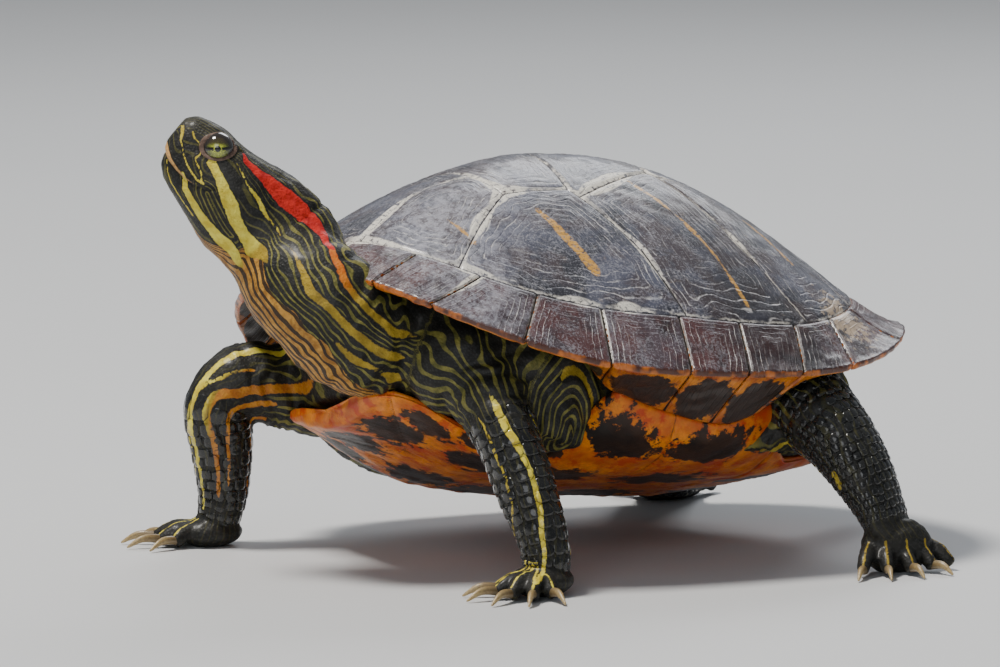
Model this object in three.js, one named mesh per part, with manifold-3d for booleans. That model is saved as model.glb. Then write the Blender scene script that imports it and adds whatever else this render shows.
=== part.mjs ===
// Red-eared slider turtle: a still, life-size model standing on its four feet, front end and
// left side a little raised, neck stretched and head up. Millimetres, +X ahead, +Y the
// turtle's left, +Z up, floor at z = 0.
import * as THREE from 'three';
import { ParametricGeometry } from 'three/addons/geometries/ParametricGeometry.js';
import { mergeVertices } from 'three/addons/utils/BufferGeometryUtils.js';
import Module from 'manifold-3d';

const wasm = await Module();
wasm.setup();

// ---------------------------------------------------------------- driving dimensions
const shellLength = 200;          // straight length of the carapace
const shellHalfWidth = 82;        // half its greatest width
const outlinePower = 2.9;         // superellipse power of the plan outline
const domeHeight = 75.5;          // apex above the rim at the bridge
const apexX = 10;                 // apex ahead of the middle of the shell
const frontRimRise = 34;          // the rim arches up over the neck
const frontRimPower = 2.2;        // how late the rise sets in
const rearRimRise = 25;           // and up over the tail
const rearRimPower = 3.4;
const domePower = { front: 1.8, side: 1.9, rear: 2.4 };      // flatness of the top
const flarePower = { front: 1.0, side: 1.03, rear: 1.6 };    // how far the rim flares out
const shellThickness = 3.2;       // measured upright

const bridgeFront = 20;           // the bridge runs between these two x, with soft ends
const bridgeRear = -41;
const bridgeBlend = 12;           // the bridge fades into the rear opening over this length
const bridgeFrontBlend = 24;      // and into the front opening over this one
const armFront = 14;              // the plastron's part of it ends sooner and sharper
const armBlend = 18;
const bridgeSeamRho = 0.8;        // where marginal plates and plastron meet

const plastronFront = 83;
const plastronRear = -88;
const plastronDepth = -27;        // its flat belly
const plastronThickness = 4.6;
const frontDip = 4;               // its front edge is lower between the two upturned corners
const frontDipStart = 52;

const gap = 0.3;                  // left between neighbours
const flatness = 0.05;            // faces that differ by less than this are made one
const shellPitch = 4.74;          // degrees, front up
const shellRoll = 12.5;           // degrees, left side up
const shellLift = 47;             // middle of the rim above the floor
const boxCentre = [10.66, 0.45];  // plan middle of the whole animal, moved to the origin

const headMiddle = new THREE.Vector3(120, 3, shellLift + 83);   // midway between the eyes
const headPitch = 40;             // degrees, nose up
const headYaw = -20;              // degrees, turned to its right
const eyeRadius = 4.9;
const eyeAt = [0.4, 5.9, 0.2];    // eye centre ahead, out and up in the head
const skullBack = -30;            // the head reaches from here, behind the eyes,
const snoutTip = 13.1;            // to here
const skullShrink = 0.9;          // at its back end, where the neck covers it
const headCut = -20;              // head and neck part here
const mouthAt = -12.4;            // the mouth, below the middle of the head
const mouthTilt = 4;              // degrees, rising ahead
const mouthCorner = -9;           // how far back it reaches

// ---------------------------------------------------------------- small tools
const radians = THREE.MathUtils.degToRad;
const smooth = THREE.MathUtils.smoothstep;
const mix = THREE.MathUtils.lerp;
const vec = (x, y, z) => new THREE.Vector3(x, y, z);
const standing = (x, y, z) => vec(x, y, z + shellLift);

const shellPlace = new THREE.Matrix4().makeTranslation(0, 0, shellLift)
  .multiply(new THREE.Matrix4().makeRotationY(-radians(shellPitch)))
  .multiply(new THREE.Matrix4().makeRotationX(radians(shellRoll)));

// a value carried smoothly through keys [[s, v, w, ...], ...]
function track(keys, s) {
  let i = 1;
  while (i < keys.length - 1 && s > keys[i][0]) i += 1;
  const a = keys[i - 1];
  const b = keys[i];
  const before = keys[Math.max(i - 2, 0)];
  const after = keys[Math.min(i + 1, keys.length - 1)];
  const t = THREE.MathUtils.clamp((s - a[0]) / (b[0] - a[0]), 0, 1);
  const h = b[0] - a[0];
  return a.slice(1).map((va, k) => {
    const vb = b[k + 1];
    const ma = (vb - before[k + 1]) / Math.max(b[0] - before[0], 1e-6) * h;
    const mb = (after[k + 1] - va) / Math.max(after[0] - a[0], 1e-6) * h;
    const t2 = t * t;
    const t3 = t2 * t;
    return (2 * t3 - 3 * t2 + 1) * va + (t3 - 2 * t2 + t) * ma
      + (3 * t2 - 2 * t3) * vb + (t3 - t2) * mb;
  });
}

// a closed three.js geometry as a manifold solid, its shared points merged
function solid(geometry) {
  geometry.deleteAttribute('normal');
  geometry.deleteAttribute('uv');
  const merged = mergeVertices(geometry, 1e-3);
  const index = merged.index.array;
  const corners = [];
  for (let i = 0; i < index.length; i += 3) {
    const [a, b, c] = [index[i], index[i + 1], index[i + 2]];
    if (a !== b && b !== c && c !== a) corners.push(a, b, c);
  }
  const build = (order) => new wasm.Manifold(new wasm.Mesh({
    numProp: 3,
    vertProperties: new Float32Array(merged.attributes.position.array),
    triVerts: new Uint32Array(order),
  }));
  const first = build(corners);
  if (first.volume() > 0) return first;
  for (let i = 0; i < corners.length; i += 3) {
    [corners[i + 1], corners[i + 2]] = [corners[i + 2], corners[i + 1]];
  }
  return build(corners);
}

// point(u, v) with u round the ring and v along the shape, both ends drawn to a point
function ringed(point, around, along) {
  const shape = new ParametricGeometry((u, v, target) => {
    const ends = v < 1e-9 || v > 1 - 1e-9;
    target.copy(point(ends ? 0 : u % 1, v));
  }, around, along);
  return solid(shape);
}

function geometryOf(manifold) {
  const mesh = manifold.getMesh();
  const count = mesh.vertProperties.length / mesh.numProp;
  const position = new Float32Array(count * 3);
  for (let i = 0; i < count; i += 1) {
    for (let k = 0; k < 3; k += 1) position[3 * i + k] = mesh.vertProperties[mesh.numProp * i + k];
  }
  const geometry = new THREE.BufferGeometry();
  geometry.setAttribute('position', new THREE.BufferAttribute(position, 3));
  geometry.setIndex(new THREE.BufferAttribute(new Uint32Array(mesh.triVerts), 1));
  return geometry;
}

// the same solid with every face moved out by a distance, for cutting clearance; a corner
// goes out further the sharper it is, up to two and a half times the distance
function grown(manifold, distance) {
  const geometry = geometryOf(manifold);
  geometry.computeVertexNormals();
  const position = geometry.attributes.position;
  const normal = geometry.attributes.normal;
  const index = geometry.index.array;
  const lean = new Float32Array(position.count).fill(1);
  const face = new THREE.Triangle();
  const flat = vec(0, 0, 0);
  const own = vec(0, 0, 0);
  for (let i = 0; i < index.length; i += 3) {
    face.setFromAttributeAndIndices(position, index[i], index[i + 1], index[i + 2]);
    face.getNormal(flat);
    for (let k = 0; k < 3; k += 1) {
      own.fromBufferAttribute(normal, index[i + k]);
      lean[index[i + k]] = Math.min(lean[index[i + k]], own.dot(flat));
    }
  }
  const moved = vec(0, 0, 0);
  for (let i = 0; i < position.count; i += 1) {
    own.fromBufferAttribute(normal, i);
    moved.fromBufferAttribute(position, i).addScaledVector(own, distance / Math.max(lean[i], 0.4));
    position.setXYZ(i, moved.x, moved.y, moved.z);
  }
  return solid(geometry);
}

function largest(manifold) {
  const pieces = manifold.decompose();
  pieces.sort((a, b) => b.volume() - a.volume());
  return pieces[0];
}

// ---------------------------------------------------------------- shell surfaces
const halfLength = shellLength / 2;
const rimHalfWidth = (x) => shellHalfWidth
  * Math.max(1 - Math.abs(x / halfLength) ** outlinePower, 0) ** (1 / outlinePower);
const rimHeight = (x) => frontRimRise * Math.max(x / halfLength, 0) ** frontRimPower
  + rearRimRise * Math.max(-x / halfLength, 0) ** rearRimPower;

function rimPoint(turn) {
  const c = Math.cos(turn);
  const s = Math.sin(turn);
  const x = halfLength * Math.sign(c) * Math.abs(c) ** (2 / outlinePower);
  const y = shellHalfWidth * Math.sign(s) * Math.abs(s) ** (2 / outlinePower);
  return vec(x, y, rimHeight(x));
}

// height of the dome at a share rho of the way from the apex to a rim point
function domeZ(rim, rho) {
  const reach = Math.hypot(rim.x - apexX, rim.y);
  const ahead = Math.max((rim.x - apexX) / reach, 0) ** 2;
  const behind = Math.max((apexX - rim.x) / reach, 0) ** 2;
  const blend = (set) => set.side + (set.front - set.side) * ahead + (set.rear - set.side) * behind;
  const fall = Math.max(1 - rho ** blend(domePower), 0) ** blend(flarePower);
  return rim.z + (domeHeight - rim.z) * fall;
}

const onRay = (rim, rho, z) => vec(apexX + (rim.x - apexX) * rho, rim.y * rho, z);

const bridgeShare = (x, front = bridgeFront, blend = bridgeFrontBlend) => (
  smooth(x, bridgeRear - bridgeBlend, bridgeRear) * (1 - smooth(x, front, front + blend)));
const seamKeys = [  // x, height of that seam
  [-60, -5], [-41, -7.5], [-19, -15], [0, -12], [20, -5.5], [46, -3],
];
const seamHeight = (x) => track(seamKeys, x)[0];

function seamCorner(rim) {
  const share = bridgeShare(rim.x);
  const openRho = 0.92;
  const x = onRay(rim, bridgeSeamRho, 0).x;
  return {
    rho: mix(openRho, bridgeSeamRho, share),
    z: mix(domeZ(rim, openRho) - shellThickness - 0.6, seamHeight(x), share),
  };
}

function carapace() {
  const outer = [0, 0.14, 0.28, 0.42, 0.55, 0.67, 0.78, 0.87, 0.94, 1];
  const inner = [1, 0.75, 0.5, 0.25, 0];
  const rows = outer.length + 2 + inner.length;
  const lipDrop = 2.2;
  const lipRho = 0.985;
  return ringed((u, v) => {
    const rim = rimPoint(2 * Math.PI * u);
    const corner = seamCorner(rim);
    const row = Math.round(v * (rows - 1));
    if (row < outer.length) return onRay(rim, outer[row], domeZ(rim, outer[row]));
    if (row === outer.length) return onRay(rim, lipRho, rim.z - lipDrop);
    if (row === outer.length + 1) return onRay(rim, corner.rho, corner.z);
    const rho = (corner.rho - 0.02) * inner[row - outer.length - 2];
    return onRay(rim, rho, domeZ(rim, rho) - shellThickness);
  }, 42, rows - 1).transform(shellPlace.elements);
}

const plateKeys = [  // x, half-width, height of the underside
  [plastronRear, 10, -15], [-84, 17, -17], [-72, 30, -21], [-56, 39, -25], [-44, 43, -26.5],
  [-20, 47, plastronDepth], [14, 47, plastronDepth], [32, 43, -26], [48, 42, -22],
  [60, 41, -16.5], [70, 39.5, -11], [78, 36, -8], [plastronFront, 29.5, -7.5],
];
const seamY = (x) => {
  const rimX = apexX + (x - apexX) / bridgeSeamRho;
  return bridgeSeamRho * rimHalfWidth(rimX);
};

function plastron() {
  const steps = 27;
  const edge = 2.2;
  return ringed((u, v) => {
    const x = mix(plastronRear, plastronFront, v);
    const [width, under] = track(plateKeys, x);
    const share = bridgeShare(x, armFront, armBlend);
    const top = under + plastronThickness;
    const dip = frontDip * smooth(x, frontDipStart, plastronFront);
    const armY = seamY(x) - 0.5;
    const armZ = seamHeight(x) - 0.5;
    const ring = [
      [0, under - 0.2 - dip], [0.5 * width, under - 0.6 * dip], [0.86 * width, under + 0.5],
      [mix(width, 0.5 * (width + armY) + 1.5, share), mix(under + edge, 0.5 * (under + armZ) - 1, share)],
      [mix(width, armY, share), mix(under + edge + 0.6, armZ, share)],
      [mix(width - 1, armY - 3.5, share), mix(top - 0.4, armZ + 1.8, share)],
      [mix(0.8 * width, 0.95 * width, share), top + 0.3 - 0.1 * dip],
      [0.4 * width, top - 0.7 * dip], [0, top - dip],
    ];
    const count = 2 * ring.length - 2;
    const at = Math.round(u * count) % count;
    const left = at < ring.length;
    const [y, z] = ring[left ? at : count - at];
    const closing = v < 1e-9 || v > 1 - 1e-9;
    return closing ? vec(x, 0, 0.5 * (under + top) - dip) : vec(x, left ? y : -y, z);
  }, 16, steps).transform(shellPlace.elements);
}

// ---------------------------------------------------------------- flesh
// a limb: an oval section carried along a smooth curve; stations are [point, half-width, half-height]
function limb(stations, side, around, along) {
  const path = new THREE.CatmullRomCurve3(stations.map((s) => s[0]), false, 'centripetal');
  const last = stations.length - 1;
  const keys = stations.map((s, i) => [i, s[1], s[2]]);
  const capShare = 0.06;
  return ringed((u, v) => {
    const t = THREE.MathUtils.clamp(v, 0, 1);
    const centre = path.getPoint(t);
    const ahead = path.getTangent(t);
    const across = side.clone().addScaledVector(ahead, -side.dot(ahead)).normalize();
    const up = ahead.clone().cross(across);
    const [a, b] = track(keys, t * last);
    const nearEnd = Math.min(t, 1 - t) / capShare;
    const closing = nearEnd >= 1 ? 1 : Math.sqrt(Math.max(1 - (1 - nearEnd) ** 2, 0));
    const turn = 2 * Math.PI * u;
    return centre.addScaledVector(across, a * closing * Math.cos(turn))
      .addScaledVector(up, b * closing * Math.sin(turn));
  }, around, along);
}

function ball(centre, rx, ry, rz, around = 10, along = 6) {
  const sphere = new THREE.SphereGeometry(1, around, along);
  sphere.scale(rx, ry, rz);
  sphere.translate(centre.x, centre.y, centre.z);
  return solid(sphere);
}

const headTurn = new THREE.Matrix4().makeTranslation(headMiddle.x, headMiddle.y, headMiddle.z)
  .multiply(new THREE.Matrix4().makeRotationZ(radians(headYaw)))
  .multiply(new THREE.Matrix4().makeRotationY(-radians(headPitch)));
const inHead = (ahead, left, up) => vec(ahead, left, up).applyMatrix4(headTurn);
const headLeft = vec(0, 1, 0).transformDirection(headTurn);

const headKeys = [  // ahead of the eyes, crown, throat, half-width
  [-36, 8.8, -26.6, 13.4], [-23, 8.0, -26.4, 13.7], [-14, 6.2, -25.0, 13.7],
  [-7, 5.4, -22.3, 12.7], [0, 5.8, -19.9, 10.7], [4, 5.6, -18.5, 8.9],
  [8, 4.6, -16.4, 6.9], [11, 3.2, -12.8, 5.0], [12.6, 1.4, -8.4, 3.0],
];

function skull() {
  const squarer = 0.86;             // power that fills out the corners of the section
  return ringed((u, v) => {
    const ahead = mix(skullBack, snoutTip, 1 - (1 - v) ** 1.5);
    const inside = mix(skullShrink, 1, smooth(ahead, skullBack, -16));
    const [crown, throat, half] = track(headKeys, ahead).map((value) => inside * value);
    const turn = 2 * Math.PI * u;
    const middle = 0.5 * (crown + throat);
    const ends = v < 1e-9 || v > 1 - 1e-9;
    const fullness = mix(1, squarer, smooth(ahead, -26, -12));
    const round = (c) => Math.sign(c) * Math.abs(c) ** fullness;
    const y = ends ? 0 : half * round(Math.cos(turn));
    const z = ends ? 0 : 0.5 * (crown - throat) * round(Math.sin(turn));
    return inHead(ahead, y, middle + z);
  }, 18, 14);
}

function neckTube() {
  const back = (f) => {
    const [crown, throat, half] = track(headKeys, f);
    return [inHead(f, 0, 0.5 * (crown + throat)), half * 0.99, 0.5 * (crown - throat) * 0.99];
  };
  return limb([
    back(-19), back(-25), back(-33),
    [standing(101, 20, 44), 14.5, 17.6], [standing(96, 28, 37), 15.5, 18.2],
    [standing(87, 29, 28.5), 17.5, 18.8], [standing(72, 24, 26), 18.5, 18.5],
    [standing(58, 16, 20), 17, 16],
  ], headLeft, 16, 13);
}

const carapaceSolid = carapace().simplify(flatness);
const plastronSolid = plastron().simplify(flatness);
const shellCutter = grown(carapaceSolid, gap).add(grown(plastronSolid, gap));

function trunk() {
  const underRoof = 2.2;            // kept below the shell's inside
  const overFloor = 0.8;            // and above the plastron's
  const topRho = [0, 0.3, 0.55, 0.78, 0.94, 1];
  const bellyRho = { open: [0.97, 0.6, 0], bridged: [0.76, 0.5, 0] };
  const rows = topRho.length + 1 + bellyRho.open.length;
  const core = ringed((u, v) => {
    const rim = rimPoint(2 * Math.PI * u);
    const share = bridgeShare(rim.x);
    const edge = mix(0.8, bridgeSeamRho - 0.08, share);
    const row = Math.round(v * (rows - 1));
    const top = (rho) => domeZ(rim, rho) - shellThickness - underRoof;
    const belly = (rho) => track(plateKeys, onRay(rim, rho, 0).x)[1] + plastronThickness + overFloor;
    if (row < topRho.length) return onRay(rim, edge * topRho[row], top(edge * topRho[row]));
    if (row === topRho.length) {
      const bulge = mix(0.03, 0, share);
      return onRay(rim, edge + bulge, mix(top(edge), belly(edge), mix(0.55, 0.72, share)));
    }
    const last = row - topRho.length - 1;
    const rho = edge * mix(bellyRho.open[last], bellyRho.bridged[last], share);
    return onRay(rim, rho, belly(rho));
  }, 30, rows - 1).transform(shellPlace.elements);
  return core
    .add(ball(standing(56, 41, 19), 19, 19, 17))
    .add(ball(standing(34, 53, 6), 15, 10, 15))
    .add(ball(standing(60, -37, 1), 17, 17, 16))
    .add(ball(standing(-52, 42, 2), 21, 19, 18))
    .add(ball(standing(-52, -40, -14), 20, 18, 13));
}

// a toe with its claw: direction in degrees from straight ahead, reaching the floor
function toeLine(root, heading, reach, tipHeight) {
  const way = vec(Math.cos(radians(heading)), Math.sin(radians(heading)), 0);
  const tip = root.clone().addScaledVector(way, reach);
  tip.z = tipHeight;
  const knuckle = root.clone().lerp(tip, 0.55);
  knuckle.z += 0.16 * reach;
  return { root, knuckle, tip, way };
}

function toe(line, thick) {
  const across = vec(-line.way.y, line.way.x, 0);
  return limb([
    [line.root, thick * 1.15, thick * 1.05], [line.knuckle, thick, thick],
    [line.tip, thick * 0.72, thick * 0.8],
  ], across, 6, 3);
}

function claw(line, length, thick) {
  const across = vec(-line.way.y, line.way.x, 0);
  const start = line.tip.clone().addScaledVector(line.way, -0.35 * length);
  start.z += 0.4;
  const middle = line.tip.clone().addScaledVector(line.way, 0.42 * length);
  middle.z += 0.05 * length + 0.7;
  const end = line.tip.clone().addScaledVector(line.way, 0.92 * length);
  end.z = 0.55;
  return limb([
    [start, thick, thick * 1.1], [middle, thick * 0.72, thick * 0.85], [end, 0.42, 0.45],
  ], across, 6, 4);
}

const legs = {
  front_left: {
    side: vec(1, 0.25, 0),
    stations: [
      [standing(54, 40, 18), 15, 15], [standing(54.5, 56, 10), 11.5, 12],
      [standing(53.5, 67.5, -1.5), 9.4, 9.8], [standing(51, 75, -16), 8.8, 9.2],
      [standing(48.5, 80.5, -29), 7.6, 7.8], [standing(48, 83, -38), 7.4, 6.4],
      [standing(50, 84, -44.4), 5.5, 5],
    ],
    cuts: [0.3, 0.82],
    palm: [[standing(50, 84, -42.6), 10, 8.5, 5]],
    toes: [[-16, 13], [8, 15.5], [33, 16.5], [58, 15], [86, 12]].map(([heading, reach]) => ({
      heading, reach, root: standing(51.5, 85, -43),
    })),
    toeThick: 2.7,
    clawLength: 11,
    claws: 5,
  },
  front_right: {
    side: vec(0.2, 1, 0),
    stations: [
      [standing(60, -38, -1), 14, 15], [standing(76, -43, 2), 12.5, 13],
      [standing(91, -46, 4), 11, 12.2], [standing(98, -47, -3), 9.6, 11],
      [standing(97, -48, -16), 8.8, 9.6], [standing(96, -49.5, -30), 7.6, 7.8],
      [standing(97, -50.5, -38), 7.2, 6.6], [standing(99, -51, -44.4), 5.5, 5],
    ],
    cuts: [0.43, 0.86],
    palm: [[standing(99.5, -51, -42.6), 10, 8.5, 5]],
    toes: [[18, 13], [-6, 15.5], [-30, 16.5], [-55, 15], [-84, 12]].map(([heading, reach]) => ({
      heading, reach, root: standing(101, -51.5, -43),
    })),
    toeThick: 2.7,
    clawLength: 11,
    claws: 5,
  },
  hind_left: {
    side: vec(0.75, 0.25, 0.6),
    stations: [
      [standing(-45, 38, 4), 16, 16], [standing(-51, 56, 2), 15.5, 14],
      [standing(-56, 69, -6), 14.2, 11.5], [standing(-61, 77, -17), 12.5, 9.5],
      [standing(-65, 82, -28), 11.5, 6.8], [standing(-68, 86, -38), 11, 4.8],
    ],
    cuts: [0.42, 0.78],
    palm: [[standing(-68, 87, -39), 12, 7, 8.8]],
    toes: [[52, 12], [70, 13], [88, 13], [107, 12], [128, 11]].map(([heading, reach], i) => ({
      heading, reach, root: standing(-59.5 - 4.4 * i, 86.5 - 0.6 * i, -39.5),
    })),
    toeThick: 2.6,
    clawLength: 9,
    claws: 4,
  },
  hind_right: {
    side: vec(0.9, -0.3, 0.2),
    stations: [
      [standing(-45, -36, -12), 15, 13], [standing(-52, -52, -19), 14, 11],
      [standing(-58, -62, -27), 12.5, 9.5], [standing(-64, -71, -33), 11.5, 7.5],
      [standing(-70, -78, -39.5), 11, 5.5], [standing(-74, -83, -42.5), 11, 4],
    ],
    cuts: [0.42, 0.76],
    palm: [[standing(-75, -84, -43), 13, 9, 4.6]],
    toes: [[-62, 12], [-84, 13.5], [-104, 14], [-126, 13], [-148, 11]].map(([heading, reach], i) => ({
      heading, reach, root: standing(-66.5 - 4.6 * i, -85 + 0.5 * i, -43.3),
    })),
    toeThick: 2.6,
    clawLength: 9,
    claws: 4,
  },
};

const tailStations = [
  [standing(-72, 0, -8), 10, 8], [standing(-86, -3, -15), 7, 6.5],
  [standing(-97, -8, -21), 5, 4.6], [standing(-107, -14, -27), 3.1, 2.8],
  [standing(-115, -20, -32), 1.2, 1.1],
];

// ---------------------------------------------------------------- materials
const finish = {
  shell: () => new THREE.MeshStandardMaterial({ color: 0x35323c, roughness: 0.5, metalness: 0 }),
  plastron: () => new THREE.MeshStandardMaterial({ color: 0xb85a1e, roughness: 0.5, metalness: 0 }),
  skin: () => new THREE.MeshStandardMaterial({ color: 0x2c3020, roughness: 0.55, metalness: 0 }),
  eye: () => new THREE.MeshStandardMaterial({ color: 0x8a9a3c, roughness: 0.15, metalness: 0 }),
  claw: () => new THREE.MeshStandardMaterial({ color: 0x9a8a68, roughness: 0.45, metalness: 0 }),
};

// ---------------------------------------------------------------- assembly
const turtle = new THREE.Group();
turtle.position.set(-boxCentre[0], -boxCentre[1], 0);

function addNode(name, manifold, material) {
  const body = largest(manifold).simplify(flatness);
  const mesh = new THREE.Mesh(geometryOf(body), material);
  mesh.name = name;
  turtle.add(mesh);
}

// cut a solid across a curve at a share t of its length, leaving the gap
function parted(manifold, path, t) {
  const at = path.getPoint(t);
  const way = path.getTangent(t).normalize();
  const offset = way.dot(at);
  const normal = way.toArray();
  const far = manifold.trimByPlane(normal, offset + gap / 2);
  const near = manifold.trimByPlane(normal.map((n) => -n), -offset + gap / 2);
  return [near, far];
}

const floorLevel = (manifold) => manifold.trimByPlane([0, 0, 1], 0);

addNode('carapace', carapaceSolid, finish.shell());
addNode('plastron', plastronSolid, finish.plastron());

const torso = trunk();
addNode('trunk', torso.subtract(shellCutter), finish.skin());
const bodyCutter = shellCutter.add(grown(torso, gap));

function addHeadAndNeck() {
  const eyes = { left: 1, right: -1 };
  const [eyeAhead, eyeOut, eyeUp] = eyeAt;
  const globe = (sign, r) => ball(inHead(eyeAhead, sign * eyeOut, eyeUp), r, r, r, 12, 8);
  const sockets = Object.values(eyes).map((sign) => globe(sign, eyeRadius + gap));
  const whole = skull().add(neckTube()).subtract(shellCutter);
  const bared = sockets.reduce((flesh, socket) => flesh.subtract(socket), whole);
  const headBack = inHead(headCut, 0, 0);
  const headWay = vec(1, 0, 0).transformDirection(headTurn);
  const headLine = new THREE.LineCurve3(headBack, headBack.clone().add(headWay));
  const [neck, head] = parted(largest(bared), headLine, 0);

  // the mouth: a thin cut from the beak back to its corner, then down behind the jaw
  const lean = Math.tan(radians(mouthTilt));
  const mouthLine = new THREE.LineCurve3(inHead(0, 0, mouthAt), inHead(lean, 0, mouthAt + 1));
  const cheekLine = new THREE.LineCurve3(inHead(mouthCorner, 0, 0), inHead(mouthCorner + 1, 0, 0));
  const [below, above] = parted(head, mouthLine, 0);
  const [behind] = parted(head, cheekLine, 0);
  const [, jaw] = parted(below, cheekLine, 0);
  addNode('head', above.add(behind), finish.skin());
  addNode('jaw_lower', jaw, finish.skin());

  const neckPath = new THREE.LineCurve3(standing(101, 20, 47), standing(99, 20.4, 46.2));
  const [top, base] = parted(neck, neckPath, 0);
  addNode('neck_upper', top, finish.skin());
  addNode('neck_lower', base.subtract(bodyCutter), finish.skin());
  Object.entries(eyes).forEach(([name, sign]) => {
    addNode(`eye_${name}`, globe(sign, eyeRadius), finish.eye());
  });
}

function addLeg(name, leg) {
  const path = new THREE.CatmullRomCurve3(leg.stations.map((s) => s[0]), false, 'centripetal');
  const lines = leg.toes.map((t) => toeLine(t.root, t.heading, t.reach, leg.toeThick * 0.7));
  let flesh = limb(leg.stations, leg.side.clone().normalize(), 12, 14);
  leg.palm.forEach(([centre, rx, ry, rz]) => {
    flesh = flesh.add(ball(centre, rx, ry, rz, 8, 5));
  });
  lines.forEach((line) => {
    flesh = flesh.add(toe(line, leg.toeThick));
  });
  flesh = floorLevel(flesh.subtract(bodyCutter));
  const claws = lines.slice(0, leg.claws)
    .map((line) => floorLevel(claw(line, leg.clawLength, leg.toeThick * 0.52)));
  claws.forEach((one) => {
    flesh = flesh.subtract(grown(one, gap));
  });
  const whole = largest(flesh);
  const [upper, rest] = parted(whole, path, leg.cuts[0]);
  const [lower, foot] = parted(rest, path, leg.cuts[1]);
  addNode(`leg_${name}_upper`, upper, finish.skin());
  addNode(`leg_${name}_lower`, lower, finish.skin());
  addNode(`foot_${name}`, foot, finish.skin());
  claws.forEach((one, i) => addNode(`claw_${name}_${i + 1}`, one, finish.claw()));
}

addHeadAndNeck();
Object.entries(legs).forEach(([name, leg]) => addLeg(name, leg));
const tail = limb(tailStations, vec(0, 1, 0), 10, 10).subtract(bodyCutter);
addNode('tail', tail, finish.skin());

export default turtle;
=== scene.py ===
# %% [markdown]
# # A red-eared slider, standing
#
# This lesson builds a life-size pond turtle the way a museum modeller would: first the shell,
# plate by plate, then one skin for head, neck, legs and tail, then eyes and claws, and last
# the colours. Every shape is a surface worked out with numpy and handed to Blender as a mesh.
# Lengths are worked out in millimetres and turned into metres when a mesh is made.

# %% The frame, and the tools of the lesson
import math
import bmesh
import bpy
import numpy as np
from mathutils import Matrix, Vector
from mathutils.bvhtree import BVHTree


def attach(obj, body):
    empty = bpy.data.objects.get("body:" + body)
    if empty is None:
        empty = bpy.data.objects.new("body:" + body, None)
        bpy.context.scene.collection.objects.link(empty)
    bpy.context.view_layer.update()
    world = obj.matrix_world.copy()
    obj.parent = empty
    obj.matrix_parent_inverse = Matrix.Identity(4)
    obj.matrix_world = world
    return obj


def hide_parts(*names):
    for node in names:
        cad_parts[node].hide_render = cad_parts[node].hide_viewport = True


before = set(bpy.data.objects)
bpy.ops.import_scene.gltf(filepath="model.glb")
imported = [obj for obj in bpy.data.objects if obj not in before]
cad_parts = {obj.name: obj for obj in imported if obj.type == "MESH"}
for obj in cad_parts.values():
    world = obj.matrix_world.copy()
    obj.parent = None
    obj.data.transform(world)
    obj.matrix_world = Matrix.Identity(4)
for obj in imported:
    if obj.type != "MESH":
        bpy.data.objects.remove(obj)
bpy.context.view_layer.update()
MM = 0.001

# %% [markdown]
# ## The camera
#
# The animal is seen from its left and a little ahead, from far away through a long lens, so
# nothing is foreshortened. A camera is an empty box that looks along its own -Z, so it is
# placed on a ray from the point it looks at and turned to face that point.

# %% The camera
LIFT = 47.0                      # the middle of the shell's rim above the floor
PLAN_MIDDLE = np.array([10.66, 0.45, 0.0])   # plan middle of the animal, at the origin
PICTURE = (1000, 667)
VIEW_AZIMUTH = math.radians(64.81)   # from straight ahead, towards the turtle's left
VIEW_HEIGHT = math.radians(7.0)
VIEW_DISTANCE = 2564.0
PIXELS_PER_MM = 3.23
SHELL_PIXEL = (570.8, 397.0)     # where the middle of the shell stands in the picture
SENSOR = 36.0


def place_camera():
    """The camera on a ray from the shell's middle, shifted sideways and up in its own plane
    so that the shell's middle falls on its pixel."""
    out = np.array([
        math.cos(VIEW_HEIGHT) * math.cos(VIEW_AZIMUTH),
        math.cos(VIEW_HEIGHT) * math.sin(VIEW_AZIMUTH),
        math.sin(VIEW_HEIGHT),
    ])
    right = np.cross([0, 0, 1.0], out)
    right /= np.linalg.norm(right)
    up = np.cross(out, right)
    middle = np.array([0, 0, LIFT]) - PLAN_MIDDLE
    aside = (PICTURE[0] / 2 - SHELL_PIXEL[0]) / PIXELS_PER_MM
    above = (SHELL_PIXEL[1] - PICTURE[1] / 2) / PIXELS_PER_MM
    aim = middle + right * aside + up * above
    data = bpy.data.cameras.new("camera")
    data.sensor_width = SENSOR
    data.lens = PIXELS_PER_MM * VIEW_DISTANCE * SENSOR / PICTURE[0]
    data.clip_start = 0.05
    data.clip_end = 20
    camera = bpy.data.objects.new("camera", data)
    turn = Matrix((right, up, out)).transposed().to_4x4()
    camera.matrix_world = Matrix.Translation(Vector((aim + out * VIEW_DISTANCE) * MM)) @ turn
    bpy.context.scene.collection.objects.link(camera)
    bpy.context.scene.camera = camera
    return camera


camera = place_camera()
print("lens", round(camera.data.lens, 1), "mm")

# %% [markdown]
# ## Handing a grid to Blender
#
# A surface is an array of points, rows by columns. Neighbouring points are joined into four
# sided faces with whole-array arithmetic, and foreach_set copies the arrays into the mesh.
# Numbers that colour the surface later, such as the distance to a seam, are stored with the
# points as attributes of the same name.

# %% Helpers that turn arrays into meshes
def smoothstep(value, low, high):
    """0 below low, 1 above high, and 3t^2 - 2t^3 between, t being the share of the way."""
    t = np.clip((value - low) / (high - low), 0, 1)
    return t * t * (3 - 2 * t)


def mix(a, b, share):
    """a at share 0, b at share 1."""
    return a + (b - a) * share


def circle(count):
    """Angles of points spread evenly round a full turn."""
    return np.linspace(0, 2 * np.pi, count, endpoint=False)


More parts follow.
